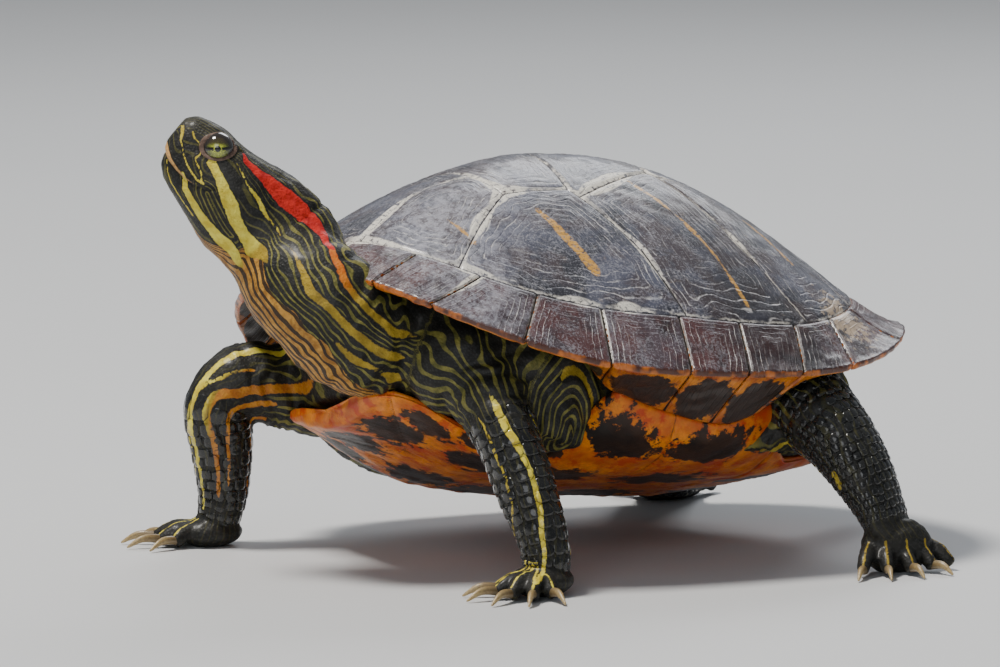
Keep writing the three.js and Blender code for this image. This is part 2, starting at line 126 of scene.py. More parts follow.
def grid_faces(rows, columns, wrap_columns=False, start=0):
    """Corner numbers of the faces of a rows by columns grid, joined round where it wraps."""
    r = np.arange(rows - 1)[:, None]
    last = columns if wrap_columns else columns - 1
    c = np.arange(last)[None, :]
    across = (c + 1) % columns
    quads = np.stack([
        r * columns + c, r * columns + across,
        (r + 1) * columns + across, (r + 1) * columns + c,
    ], axis=-1)
    return quads.reshape(-1, 4) + start


def store(mesh, key, values):
    """Numbers kept with a mesh's points, one each, under a name that materials can read."""
    kept = mesh.attributes.new(key, "FLOAT", "POINT")
    kept.data.foreach_set("value", np.asarray(values, dtype=np.float32).ravel())


def read(data, key, width=1, kind=np.float32):
    """Everything that a mesh's points, edges or loops hold under a name, as an array."""
    values = np.empty(len(data) * width, dtype=kind)
    data.foreach_get(key, values)
    return values


def new_piece(name, points, faces, attributes=None):
    """A mesh object from points in millimetres and four sided faces, smooth, with attributes."""
    mesh = bpy.data.meshes.new(name)
    points = np.asarray(points, dtype=np.float64).reshape(-1, 3)
    faces = np.asarray(faces, dtype=np.int32)
    mesh.vertices.add(len(points))
    mesh.vertices.foreach_set("co", (points * MM).astype(np.float32).ravel())
    mesh.loops.add(faces.size)
    mesh.loops.foreach_set("vertex_index", faces.ravel())
    mesh.polygons.add(len(faces))
    starts = np.arange(len(faces), dtype=np.int32) * faces.shape[1]
    mesh.polygons.foreach_set("loop_start", starts)
    mesh.update(calc_edges=True)
    mesh.validate()
    mesh.shade_smooth()
    for key, values in (attributes or {}).items():
        store(mesh, key, values)
    piece = bpy.data.objects.new(name, mesh)
    bpy.context.scene.collection.objects.link(piece)
    return piece


# %% Gathering grids, mending them and handing them over
class Gathered:
    """Several grids gathered into one mesh, with their attributes one after another."""

    def __init__(self):
        self.points, self.faces, self.attributes, self.count = [], [], {}, 0

    def add(self, points, wrap_columns=False, **attributes):
        """Adds a grid of points, and for each attribute a number or a grid of them."""
        rows, columns = points.shape[:2]
        self.faces.append(grid_faces(rows, columns, wrap_columns, self.count))
        self.points.append(points.reshape(-1, 3))
        for key, values in attributes.items():
            spread = np.broadcast_to(values, (rows, columns)).reshape(-1)
            self.attributes.setdefault(key, []).append(spread)
        self.count += rows * columns

    def piece(self, name):
        """Everything gathered, as one mesh object."""
        joined = {key: np.concatenate(values) for key, values in self.attributes.items()}
        return new_piece(name, np.concatenate(self.points), np.concatenate(self.faces), joined)


def mended(piece, merge=True, turn_outwards=False):
    """Joins points that lie on one another, so that edges close, or turns faces outwards."""
    work = bmesh.new()
    work.from_mesh(piece.data)
    if merge:
        bmesh.ops.remove_doubles(work, verts=work.verts, dist=1e-6)
    if turn_outwards:
        bmesh.ops.recalc_face_normals(work, faces=work.faces)
    work.to_mesh(piece.data)
    work.free()
    piece.data.shade_smooth()
    return piece


def finished(piece, material, nodes):
    """A piece gets its material, rides on the one body and stands for its nodes."""
    piece.data.materials.append(material)
    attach(piece, "root")
    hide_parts(*nodes)
    triangles = sum(len(p.vertices) - 2 for p in piece.data.polygons)
    print(piece.name, "has", triangles, "triangles")


# %% [markdown]
# ## Noise
#
# Horn and skin are never quite even. A sum of a few sine waves in directions drawn once from
# a seeded generator gives a smooth, repeatable unevenness for any set of points.

# %% Smooth noise
WAVE_COUNT = 24


def waves(points, size, seed):
    """Sum of sine waves of about that wavelength, in random directions, mostly in -1 to 1."""
    draw = np.random.default_rng(seed)
    ways = draw.normal(size=(WAVE_COUNT, 3))
    ways /= np.linalg.norm(ways, axis=1, keepdims=True)
    lengths = size * draw.uniform(0.6, 1.6, WAVE_COUNT)
    phase = draw.uniform(0, 2 * np.pi, WAVE_COUNT)
    flat = points.reshape(-1, 3)
    total = np.zeros(len(flat))
    for way, length, start in zip(ways, lengths, phase):
        total += np.sin(flat @ (way * 2 * np.pi / length) + start)
    return (total / math.sqrt(WAVE_COUNT / 2)).reshape(points.shape[:-1])


print("noise 3 mm apart:", waves(np.arange(12).reshape(-1, 3), 10, 1).round(2))


# %% [markdown]
# ## The shape of the shell
#
# Seen from above, the carapace is a superellipse, an oval with fuller corners. Its rim is
# lowest at the bridge and arches up over the neck and over the tail. The dome is worked out
# along straight lines from its apex to the rim: the height falls as a power of the share of
# the way, with other powers to the front and the rear than to the sides.

# %% Shell formulas
HALF_LENGTH, HALF_WIDTH, OUTLINE_POWER = 100.0, 82.0, 2.9
DOME_HEIGHT, APEX_X = 75.5, 10.0             # the apex is a little ahead of the middle
FRONT_RISE, FRONT_RISE_POWER = 34.0, 2.2
REAR_RISE, REAR_RISE_POWER = 25.0, 3.4
DOME_POWERS = {"front": 1.8, "side": 1.9, "rear": 2.4}
FLARE_POWERS = {"front": 1.0, "side": 1.03, "rear": 1.6}
PITCH, ROLL = math.radians(4.74), math.radians(12.5)   # nose up, far side down
BRIDGE_FRONT, BRIDGE_FRONT_BLEND = 20.0, 24.0   # its ends, and how softly they fade out
BRIDGE_REAR, BRIDGE_BLEND = -41.0, 12.0
ARM_FRONT, ARM_BLEND = 14.0, 18.0
BRIDGE_SEAM_RHO, OPEN_SEAM_RHO = 0.8, 0.92
SEAM_KEYS = np.array([           # x, height of the seam along the bridge
    (-60, -5), (-41, -7.5), (-19, -15), (0, -12), (20, -5.5), (46, -3),
])
SHELL_THICKNESS = 3.2

TO_WORLD = np.array(
    Matrix.Rotation(-PITCH, 3, "Y") @ Matrix.Rotation(ROLL, 3, "X")
)


def standing(points):
    """Shell coordinates to the frame: rolled, pitched, lifted and moved to the plan middle."""
    return points @ TO_WORLD.T + np.array([0, 0, LIFT]) - PLAN_MIDDLE


def rim_height(x):
    """The rim rises as a power of the distance ahead of, or behind, the middle."""
    share = x / HALF_LENGTH
    front = np.clip(share, 0, 1) ** FRONT_RISE_POWER
    rear = np.clip(-share, 0, 1) ** REAR_RISE_POWER
    return FRONT_RISE * front + REAR_RISE * rear


TURNS = np.linspace(-np.pi, np.pi, 7201)
RIM_X = HALF_LENGTH * np.sign(np.cos(TURNS)) * np.abs(np.cos(TURNS)) ** (2 / OUTLINE_POWER)
RIM_Y = HALF_WIDTH * np.sign(np.sin(TURNS)) * np.abs(np.sin(TURNS)) ** (2 / OUTLINE_POWER)
RIM_ANGLE = np.arctan2(RIM_Y, RIM_X - APEX_X)
RIM_REACH = np.hypot(RIM_X - APEX_X, RIM_Y)


def rim_reach(angle):
    """Distance in plan from the apex to the rim, in a direction."""
    wrapped = (angle + np.pi) % (2 * np.pi) - np.pi
    return np.interp(wrapped, RIM_ANGLE, RIM_REACH)


def dome_height(angle, rho):
    """Height of the dome a share rho of the way from the apex to the rim."""
    reach = rim_reach(angle)
    rim_z = rim_height(APEX_X + reach * np.cos(angle))
    ahead = np.clip(np.cos(angle), 0, 1) ** 2
    behind = np.clip(-np.cos(angle), 0, 1) ** 2

    def blend(powers):
        side = powers["side"]
        return side + (powers["front"] - side) * ahead + (powers["rear"] - side) * behind

    fall = np.clip(1 - rho ** blend(DOME_POWERS), 0, 1) ** blend(FLARE_POWERS)
    return rim_z + (DOME_HEIGHT - rim_z) * fall


def from_apex(angle, rho, z):
    """Point in shell coordinates at an angle, a share of the way out and a height."""
    reach = rim_reach(angle) * rho
    return np.stack([APEX_X + reach * np.cos(angle), reach * np.sin(angle), z], axis=-1)


def on_dome(angle, rho, above=0.0):
    """Point of the dome at an angle and a share of the way out, or above it."""
    return from_apex(angle, rho, dome_height(angle, rho) + above)


def polar(plan):
    """Angle about the apex and share of the way to the rim, of plan points."""
    angle = np.arctan2(plan[..., 1], plan[..., 0] - APEX_X)
    rho = np.hypot(plan[..., 0] - APEX_X, plan[..., 1]) / rim_reach(angle)
    return angle, np.clip(rho, 0, 1)


def smooth_keys(keys, at):
    """The columns of a table of keys read at positions, with a curve through the keys."""
    x = keys[:, 0]
    out = []
    for column in keys[:, 1:].T:
        slope = np.gradient(column, x)
        i = np.clip(np.searchsorted(x, at) - 1, 0, len(x) - 2)
        h = x[i + 1] - x[i]
        t = np.clip((at - x[i]) / h, 0, 1)
        out.append(
            (2 * t**3 - 3 * t**2 + 1) * column[i] + (t**3 - 2 * t**2 + t) * h * slope[i]
            + (3 * t**2 - 2 * t**3) * column[i + 1] + (t**3 - t**2) * h * slope[i + 1]
        )
    return out


def bridge_share(x, front=BRIDGE_FRONT, blend=BRIDGE_FRONT_BLEND):
    """1 along the bridge, 0 at the openings for legs, neck and tail."""
    rise = smoothstep(x, BRIDGE_REAR - BRIDGE_BLEND, BRIDGE_REAR)
    return rise * (1 - smoothstep(x, front, front + blend))


def seam_height(x):
    """Height of the seam between rim plates and plastron along the bridge."""
    return smooth_keys(SEAM_KEYS, x)[0]


print("rim at the bridge", np.round(standing(on_dome(np.array([np.pi / 2]), 1.0)), 1))

# %% [markdown]
# ## The plates of the back
#
# A slider's back carries five plates along the middle and four along each side. Each plate
# here is a fan of rings: the outermost ring runs along its seams, and the others shrink
# towards the point the plate has grown from. A real plate grows that way too, so the rings
# can carry its growth lines. The rim of each plate dips into the seam.

# %% Corners of the plates, in plan
RING = 0.855                     # the marginal plates start this far out from the apex
RING_ANGLE = {"front": 21.7, "c1_c2": 46.4, "c2_c3": 102.3, "c3_c4": 132.7, "rear": 149.9}
CORNER = {
    "v1_v2": (44.4, 24.2), "v2_side": (39.4, 36.3), "v2_v3": (16.7, 34.9),
    "v3_side": (14.4, 37.7), "v3_v4": (-17.0, 21.5), "v4_side": (-19.3, 23.6),
    "v4_v5": (-55.0, 17.0), "v5_side": (-63.0, 34.0),
    "c1_c2": (52.5, 46.7), "c2_c3": (1.8, 54.4), "c3_c4": (-35.0, 45.7),
}
V1_WAIST = [(82.9, 28.6), (66.2, 20.6), (57.2, 19.4)]   # the front plate is narrow here
MIDLINE = {"v1_v2": 49.5, "v2_v3": 17.5, "v3_v4": -20.5, "v4_v5": -57.0}
PLATE_STEP = 1.25                # spacing of the points along a seam
RING_COUNT = 40
PLATE_DEPTH = 1.1                # the plate's thickness at its middle
BEVEL = 1.3                      # its edge rounds off over this width


def ring_arc(start, end):
    """Points in plan on the inner ring of the marginals between two angles in degrees."""
    steps = max(int(abs(end - start) / 1.2), 2)
    angle = np.radians(np.linspace(start, end, steps))
    return list(map(tuple, on_dome(angle, RING)[:, :2]))


def corners(words):
    """The corners with these names, in order."""
    return [CORNER[word] for word in words.split()]


def mirrored(points):
    """The same points on the turtle's right, in the opposite order."""
    return [(x, -y) for x, y in reversed(points)]


def vertebral_outlines():
    """The outline of each plate of the middle row, anticlockwise from its front left."""
    front, rear = RING_ANGLE["front"], RING_ANGLE["rear"]
    v1_left = V1_WAIST + corners("v1_v2")
    v5_left = corners("v4_v5 v5_side")
    outlines = {
        "v1": ring_arc(-front, front) + v1_left + [(MIDLINE["v1_v2"], 0)] + mirrored(v1_left),
        "v5": ring_arc(rear, 360 - rear) + mirrored(v5_left) + [(MIDLINE["v4_v5"], 0)] + v5_left,
    }
    for name, words in (("v2", "v1_v2 v2_side v2_v3"), ("v3", "v2_v3 v3_side v3_v4"),
                        ("v4", "v3_v4 v4_side v4_v5")):
        ends = [(MIDLINE[words.split()[i]], 0) for i in (0, 2)]
        side = corners(words)
        outlines[name] = ends[:1] + side + ends[1:] + mirrored(side)
    return outlines


def costal_outlines():
    """The outline of each plate of the left side row: an arc of the ring, then its corners."""
    plates = {
        "c1": ("front", "c1_c2", "c1_c2 v2_side v1_v2"),
        "c2": ("c1_c2", "c2_c3", "c2_c3 v3_side v2_v3 v2_side c1_c2"),
        "c3": ("c2_c3", "c3_c4", "c3_c4 v4_side v3_v4 v3_side c2_c3"),
        "c4": ("c3_c4", "rear", "v5_side v4_v5 v4_side c3_c4"),
    }
    outlines = {name: ring_arc(RING_ANGLE[start], RING_ANGLE[end]) + corners(words)
                for name, (start, end, words) in plates.items()}
    outlines["c1"] += V1_WAIST[::-1]
    return outlines


def densified(outline, step):
    """The closed outline with points added every step or so along each edge."""
    turns = np.array(outline, dtype=float)
    pieces = []
    for a, b in zip(turns, np.roll(turns, -1, axis=0)):
        count = max(int(round(np.linalg.norm(b - a) / step)), 1)
        share = np.arange(count)[:, None] / count
        pieces.append(a + (b - a) * share)
    return np.concatenate(pieces)


def to_stretch(points, a, b):
    """Share of the way from a to b that is nearest to each point, and the distance to it."""
    way = b - a
    share = np.clip(((points - a) @ way) / max(way @ way, 1e-9), 0, 1)
    return share, np.linalg.norm(points - a - share[..., None] * way, axis=-1)


def line_distance(points, line, closed=False):
    """Distance in plan from each point to a line through corners, or to a closed outline."""
    starts = np.array(line, dtype=float)
    ends = np.roll(starts, -1, axis=0) if closed else starts[1:]
    return np.min([to_stretch(points, a, b)[1] for a, b in zip(starts, ends)], axis=0)


print("a costal plate has", len(densified(costal_outlines()["c2"], PLATE_STEP)), "rim points")

# %% Building the plates of the back
GROWTH_SPACING, GROWTH_HEIGHT = 1.9, 0.09
GROWTH_WANDER = 0.55             # how far a growth line strays, in millimetres
BEVEL_POWER = 2.2
SUNK = PLATE_DEPTH + 0.1         # a plate's edge lies this far under the dome


def areola(outline):
    """The point a plate has grown from: its middle, drawn a little back and up the dome."""
    middle = outline.mean(axis=0)
    middle[0] -= 0.08 * np.ptp(outline[:, 0])
    middle[1] *= 0.93
    return middle


def bevel(edge):
    """Height of a plate near its edge: full at BEVEL inside it, falling off as a power."""
    return PLATE_DEPTH * (1 - (1 - np.clip(edge / BEVEL, 0, 1)) ** BEVEL_POWER)


def plate_relief(plan, edge, rho, seed):
    """Height of a plate over its bed: a bevel at the seam, growth rings and fine folds."""
    spot = np.concatenate([plan, np.zeros(plan.shape[:-1] + (1,))], axis=-1)
    warp = GROWTH_WANDER * waves(spot, 14, seed)
    growth = np.sin(2 * np.pi * (edge + warp) / GROWTH_SPACING)
    near_areola, near_seam = 1 - smoothstep(rho, 0.1, 0.6), smoothstep(rho, 0.55, 0.95)
    fade = smoothstep(edge, 0.8, 2.5) * (0.35 + 0.65 * near_areola * 0.5 + 0.4 * near_seam)
    folds = waves(spot, 5.0, seed + 7)
    return bevel(edge) + GROWTH_HEIGHT * growth * fade + 0.07 * folds * smoothstep(edge, 1, 4)


def add_plate(gathered, outline, seed, tone):
    """One plate as rings from its areola out to the seam, closed by a coarse underside."""
    rim = densified(outline, PLATE_STEP)
    centre = areola(rim)
    shares = 1 - (1 - np.linspace(0, 1, RING_COUNT)) ** 1.35
    plan = centre + (rim - centre)[None, :, :] * shares[:, None, None]
    edge = line_distance(plan, outline, closed=True)
    angle, rho_dome = polar(plan)
    relief = plate_relief(plan, edge, shares[:, None], seed)
    top = on_dome(angle, rho_dome, relief - SUNK)
    under_share = np.array([1.0, 0.5, 0.0])
    under_plan = centre + (rim - centre)[None] * under_share[:, None, None]
    under_angle, under_rho = polar(under_plan)
    bottom = on_dome(under_angle, under_rho, -PLATE_DEPTH - 1.0)
    points = np.concatenate([top, bottom])
    flat = np.zeros(bottom.shape[:2])
    gathered.add(
        standing(points), wrap_columns=True,
        seam=np.concatenate([edge, flat]),
        grown=np.concatenate([edge + GROWTH_WANDER * waves(top, 14, seed), flat]),
        back_x=points[..., 0], back_y=points[..., 1], tone=tone,
    )


def build_back_plates():
    """The five middle plates as one mesh and the eight side plates as another."""
    draw = np.random.default_rng(11)
    middle, sides = Gathered(), Gathered()
    for name, outline in vertebral_outlines().items():
        add_plate(middle, outline, int(name[1]), draw.uniform())
    for name, outline in costal_outlines().items():
        add_plate(sides, outline, 20 + int(name[1]), draw.uniform())
        right = mirrored(outline)
        add_plate(sides, right, 30 + int(name[1]), draw.uniform())
    return middle.piece("vertebral_plates"), sides.piece("costal_plates")


vertebral_plates, costal_plates = build_back_plates()
print("back plates:", len(vertebral_plates.data.vertices), len(costal_plates.data.vertices))

# %% [markdown]
# ## The rim plates
#
# Twelve marginal plates run round each side, with a small nuchal plate over the neck. Each is
# folded over the shell's edge: its top slopes out to the rim and its underside runs in again
# to the bridge or to the opening for a leg. One grid covers both faces, so the rounded lip
# between them has no seam.

# %% Building the rim plates
MARGINAL_SEAMS = [               # degrees round from ahead, where a seam meets rim and ring
    (3.2, 4.4), (16.3, 19.0), (32.0, 37.3), (43.7, 51.5), (61.1, 63.7), (79.0, 79.2),
    (97.5, 100.2), (110.5, 115.7), (122.0, 129.2), (132.7, 139.2), (148.7, 148.0),
    (164.0, 163.0), (180.0, 180.0),
]
LIP_RHO, LIP_DROP = 0.985, 2.2
TOP_ROWS, LIP_ROWS, UNDER_ROWS = 20, 7, 22
MARGINAL_COLUMNS = 40
BACK_DEPTH = 0.25                # the back of a rim plate lies this much deeper inside its edge


def seam_corner(angle):
    """Where the underside of the rim ends: at the bridge's seam, or just inside an opening."""
    x = APEX_X + rim_reach(angle) * np.cos(angle)
    share = bridge_share(x)
    open_z = dome_height(angle, OPEN_SEAM_RHO) - SHELL_THICKNESS - 0.6
    seam_z = seam_height(APEX_X + (x - APEX_X) * BRIDGE_SEAM_RHO)
    return mix(OPEN_SEAM_RHO, BRIDGE_SEAM_RHO, share), mix(open_z, seam_z, share)


def rim_profile(rim_angle, ring_angle):
    """Points from the ring over the lip to the underside's end, for columns of angles."""
    top = np.linspace(RING, 1, TOP_ROWS)[:, None]
    share = (top - RING) / (1 - RING)
    top_points = on_dome(mix(ring_angle, rim_angle, share), top)
    rim_z = dome_height(rim_angle, 1.0)
    turn = np.linspace(0, np.pi / 2, LIP_ROWS + 1)[1:, None]
    lip_rho = 1 - (1 - LIP_RHO) * (1 - np.cos(turn))
    lip_z = rim_z - LIP_DROP * np.sin(turn)
    corner_rho, corner_z = seam_corner(rim_angle)
    inward = np.linspace(0, 1, UNDER_ROWS + 1)[1:, None]
    under_rho = mix(LIP_RHO, corner_rho, inward)
    under_z = mix(rim_z - LIP_DROP, corner_z, inward)
    rho = np.concatenate([lip_rho + 0 * rim_z, under_rho])
    folded = from_apex(rim_angle, rho, np.concatenate([lip_z, under_z]))
    return np.concatenate([top_points, folded])


print("the rim reaches", np.round(rim_reach(np.array([0, np.pi / 2])), 1), "mm from the apex")


# %% Normals and lengths on a grid
def grid_normals(points):
    """Unit normals of a grid, the cross product of its steps down and across."""
    down = np.gradient(points, axis=0)
    across = np.gradient(points, axis=1)
    normal = np.cross(down, across)
    return normal / np.maximum(np.linalg.norm(normal, axis=-1, keepdims=True), 1e-9)


def path_length(points, axis):
    """Distance travelled along one axis of a grid."""
    steps = np.linalg.norm(np.diff(points, axis=axis), axis=-1)
    total = np.cumsum(steps, axis=axis)
    return np.concatenate([np.zeros_like(np.take(total, [0], axis=axis)), total], axis=axis)


# %% One rim plate
def add_marginal(gathered, start, end, seed, tone, side):
    """One rim plate between two seams, side +1 on the left and -1 on the right."""
    share = np.linspace(0, 1, MARGINAL_COLUMNS)
    rim_angle = np.radians(mix(start[0], end[0], share)) * side
    ring_angle = np.radians(mix(start[1], end[1], share)) * side
    bed = rim_profile(rim_angle, ring_angle)
    outward = grid_normals(bed)
    if outward[TOP_ROWS // 2, MARGINAL_COLUMNS // 2, 2] < 0:
        outward = -outward
    along = path_length(bed, 1)
    across = path_length(bed, 0)
    to_seam = np.minimum(along, along[:, -1:] - along)
    edge = np.minimum(np.minimum(to_seam, across), across[-1:] - across)
    from_rim = across[TOP_ROWS - 1][None, :] - across
    inner = np.minimum(np.minimum(to_seam, across), 40)
    growth = np.sin(2 * np.pi * (inner + 0.5 * waves(bed, 12, seed)) / GROWTH_SPACING)
    on_top = smoothstep(from_rim, -0.5, 1.5)
    relief = bevel(edge) + GROWTH_HEIGHT * growth * smoothstep(edge, 0.8, 2.5) * on_top
    relief = relief + 0.12 * waves(bed, 6.0, seed + 3) * smoothstep(edge, 1, 3)
    face = bed + outward * (relief - SUNK)[..., None]
    closing = smoothstep(edge, 0.0, 2.0) * BACK_DEPTH
    back = bed - outward * (SUNK + closing)[..., None]
    loop = np.concatenate([face, back[::-2]])
    rows = len(loop)
    under = (path_length(bed, 0) - across[TOP_ROWS + LIP_ROWS - 1]) / np.maximum(
        across[-1] - across[TOP_ROWS + LIP_ROWS - 1], 1e-6)

    def padded(values, fill=0.0):
        return np.concatenate([values, np.full((rows - len(values), values.shape[1]), fill)])

    marks = {
        "seam": padded(edge), "grown": padded(inner), "from_rim": padded(from_rim, -30),
        "under": padded(under), "along": padded(share[None, :] * np.ones_like(edge)),
        "back_x": loop[..., 0], "back_y": loop[..., 1],
    }
    order = slice(None, None, -1 if side > 0 else 1)   # so that faces look outwards
    marks = {key: values[:, order] for key, values in marks.items()}
    gathered.add(standing(loop)[:, order], tone=tone, **marks)


# %% All the rim plates
def build_marginals():
    """The nuchal plate and twelve rim plates on each side, as one mesh."""
    draw = np.random.default_rng(5)
    rim = Gathered()
    first = MARGINAL_SEAMS[0]
    add_marginal(rim, (-first[0], -first[1]), first, 50, draw.uniform(), 1)
    for number, (start, end) in enumerate(zip(MARGINAL_SEAMS, MARGINAL_SEAMS[1:])):
        for side in (1, -1):
            add_marginal(rim, start, end, 60 + 2 * number + side, draw.uniform(), side)
    return rim.piece("marginal_plates")


marginal_plates = build_marginals()
print("rim plates:", len(marginal_plates.data.vertices), "points")

# %% [markdown]
# ## The bed of the carapace
#
# Under the horn lies bone. Here it is one closed bowl of the same shape, a plate's depth
# further in, so that no light shows through a seam and the shell has a real inner face.

# %% Building the bed
BED_DEPTH = PLATE_DEPTH + 0.45
BED_COLUMNS = 180


def build_carapace_bed():
    """A closed bowl: down the dome from the apex, round the lip, and back up inside."""
    angle = circle(BED_COLUMNS)
    outer = on_dome(angle, np.linspace(0, 1, 30)[1:, None] * LIP_RHO, -BED_DEPTH)
    corner_rho, corner_z = seam_corner(angle)
    drop = on_dome(angle, LIP_RHO - 0.01, -LIP_DROP - 0.6)
    seam = from_apex(angle, corner_rho + 0.004, corner_z + 0.9)
    inner_rho = (corner_rho - 0.02) * np.linspace(1, 0, 14)[:-1, None]
    inner = on_dome(angle, inner_rho, -SHELL_THICKNESS)
    poles = [on_dome(0 * angle, 0.0, depth)[None] for depth in (-BED_DEPTH, -SHELL_THICKNESS)]
    rows = np.concatenate([poles[0], outer, drop[None], seam[None], inner, poles[1]])
    bed = Gathered()
    bed.add(standing(rows), wrap_columns=True)
    return mended(bed.piece("carapace_bed"))


carapace_bed = build_carapace_bed()
print("bed:", len(carapace_bed.data.vertices), "points")

# %% [markdown]
# ## The plastron
#
# The underside is one broad plate that rises on each side as the bridge. Across it, a ring
# of points is given by the plate's half width and depth at that distance along the body.
# Its seams are grooves, pressed in wherever a point is close to one of a few named lines.

# %% Building the plastron
PLASTRON_THICKNESS = 4.6
PLASTRON_REAR, PLASTRON_FRONT = -88.0, 83.0
PLASTRON_KEYS = np.array([       # x, half width, height of the underside
    (-88, 10, -15), (-84, 17, -17), (-72, 30, -21), (-56, 39, -25), (-44, 43, -26.5),
    (-20, 47, -27), (14, 47, -27), (32, 43, -26), (48, 42, -22), (60, 41, -16.5),
    (70, 39.5, -11), (78, 36, -8), (83, 29.5, -7.5),
])
FRONT_DIP, FRONT_DIP_START = 4.0, 52.0   # the front edge is lower between its two corners
PLASTRON_SEAMS = {               # plan points of each seam on the left
    "gular": [(56, 0), (67, 17), (78, 35)],
    "humeral": [(31, 0), (30, 22), (36, 44), (40, 60)],
    "pectoral": [(3, 0), (0, 25), (-4, 46), (-3, 70)],
    "abdominal": [(-37, 0), (-38, 22), (-43, 44), (-47, 60)],
    "femoral": [(-60, 0), (-66, 14), (-76, 30)],
}
PLASTRON_ROWS, PLASTRON_COLUMNS = 320, 128
SEAM_GROOVE, SEAM_WIDTH = 0.45, 0.9


def rounded_loop(corners, columns):
    """A closed curve through rows of corners, as a Catmull-Rom spline, for every row at once."""
    count = corners.shape[1]
    at = np.arange(columns) / columns * count
    i = at.astype(int)
    t = (at - i)[None, :, None]
    p = [corners[:, (i + k) % count] for k in (-1, 0, 1, 2)]
    return 0.5 * (2 * p[1] + (p[2] - p[0]) * t + (2 * p[0] - 5 * p[1] + 4 * p[2] - p[3]) * t**2
                  + (3 * p[1] - p[0] - 3 * p[2] + p[3]) * t**3)


def bridge_seam_y(x):
    """Half width of the shell where the bridge meets the rim plates."""
    share = np.clip(np.abs((APEX_X + (x - APEX_X) / BRIDGE_SEAM_RHO) / HALF_LENGTH), 0, 1)
    return BRIDGE_SEAM_RHO * HALF_WIDTH * (1 - share**OUTLINE_POWER) ** (1 / OUTLINE_POWER)


def plastron_rings(x):
    """Corners round the plate at each x: along the belly, up the edge or bridge, back inside."""
    width, under = smooth_keys(PLASTRON_KEYS, x)
    share = bridge_share(x, ARM_FRONT, ARM_BLEND)
    top = under + PLASTRON_THICKNESS
    dip = FRONT_DIP * smoothstep(x, FRONT_DIP_START, PLASTRON_FRONT)
    arm_y, arm_z = bridge_seam_y(x) - 0.5, seam_height(x) - 0.5
    half = [
        (0 * x, under - 0.2 - dip), (0.5 * width, under - 0.6 * dip),
        (0.86 * width, under + 0.5),
        (mix(width, 0.5 * (width + arm_y) + 1.5, share),
         mix(under + 2.2, 0.5 * (under + arm_z) - 1, share)),
        (mix(width, arm_y, share), mix(under + 2.8, arm_z, share)),
        (mix(width - 1, arm_y - 3.5, share), mix(top - 0.4, arm_z + 1.8, share)),
        (mix(0.8 * width, 0.95 * width, share), top + 0.3 - 0.1 * dip),
        (0.4 * width, top - 0.7 * dip), (0 * x, top - dip),
    ]
    left = np.stack([np.stack(corner, axis=-1) for corner in half], axis=1)
    right = left[:, -2:0:-1] * np.array([-1, 1])
    return np.concatenate([left, right], axis=1)


print("corners of one ring:", plastron_rings(np.zeros(1)).shape[1])


# %% The loft
def build_plastron():
    """The plate as a closed loft, its seams pressed in and its ends drawn together."""
    x = mix(PLASTRON_REAR, PLASTRON_FRONT, np.linspace(0, 1, PLASTRON_ROWS))
    ring = rounded_loop(plastron_rings(x), PLASTRON_COLUMNS)
    middle = ring.mean(axis=1, keepdims=True)
    middle[..., 0] = 0
    nearest = np.minimum(x - PLASTRON_REAR, PLASTRON_FRONT - x)
    end = np.sqrt(1 - (1 - nearest / 2.5).clip(0, 1) ** 2)
    ring = middle + (ring - middle) * np.maximum(end, 1e-3)[:, None, None]
    points = np.concatenate([
        np.broadcast_to(x[:, None, None], ring.shape[:2] + (1,)), ring], axis=-1)
    plan = np.stack([points[..., 0], np.abs(points[..., 1])], axis=-1)
    seam = np.abs(points[..., 1] + 0.8 * np.sin(points[..., 0] / 9))
    for line in PLASTRON_SEAMS.values():
        seam = np.minimum(seam, line_distance(plan, line))
    groove = -SEAM_GROOVE * (1 - smoothstep(seam, 0, SEAM_WIDTH))
    wear = 0.12 * waves(points, 7.0, 90)
    outward = grid_normals(np.concatenate([points[:, -1:], points, points[:, :1]], axis=1))
    outward = outward[:, 1:-1]
    if outward[PLASTRON_ROWS // 2, 0, 2] > 0:
        outward = -outward
    points = points + outward * (groove + wear)[..., None]
    plate = Gathered()
    plate.add(standing(points)[::-1], wrap_columns=True, seam=seam[::-1],
              back_x=points[::-1, :, 0], back_y=points[::-1, :, 1])
    return plate.piece("plastron_plate")


plastron_plate = build_plastron()
print("plastron:", len(plastron_plate.data.vertices), "points")

# %% [markdown]
# ## Limbs as tubes
#
# Neck, legs, toes, claws and tail are tubes: an oval section is carried along a smooth curve
# through a few stations, each with a half width and a half height. The curve is a centripetal
# Catmull-Rom spline, which never loops between close stations. Both ends close like a dome.

# %% Tubes
TUBE_CAP = 0.06                  # share of a tube's length over which each end closes


def spline(places, share):
    """Points of the centripetal Catmull-Rom curve through the places, at shares 0 to 1."""
    p = np.array(places, dtype=float)
    p = np.concatenate([[2 * p[0] - p[1]], p, [2 * p[-1] - p[-2]]])
    spans = len(p) - 3
    at = np.clip(share, 0, 1) * spans
    i = np.minimum(at.astype(int), spans - 1)
    t = (at - i)[:, None]
    gap = np.sqrt(np.linalg.norm(np.diff(p, axis=0), axis=1))[:, None]
    a, b, c, d = (p[i + k] for k in range(4))
    g0, g1, g2 = (gap[i + k] for k in range(3))
    into = ((b - a) / g0 - (c - a) / (g0 + g1) + (c - b) / g1) * g1
    away = ((c - b) / g1 - (d - b) / (g1 + g2) + (d - c) / g2) * g1
    return b + into * t + (-3 * b + 3 * c - 2 * into - away) * t**2 + (
        2 * b - 2 * c + into + away) * t**3


def unit(vectors):
    """The same ways with a length of 1."""
    return vectors / np.linalg.norm(vectors, axis=-1, keepdims=True)


def square_to(way, side):
    """The part of side that is square to each way, and the way square to both."""
    side = np.array(side, dtype=float)
    across = unit(side - (way @ side)[..., None] * way)
    return across, np.cross(way, across)


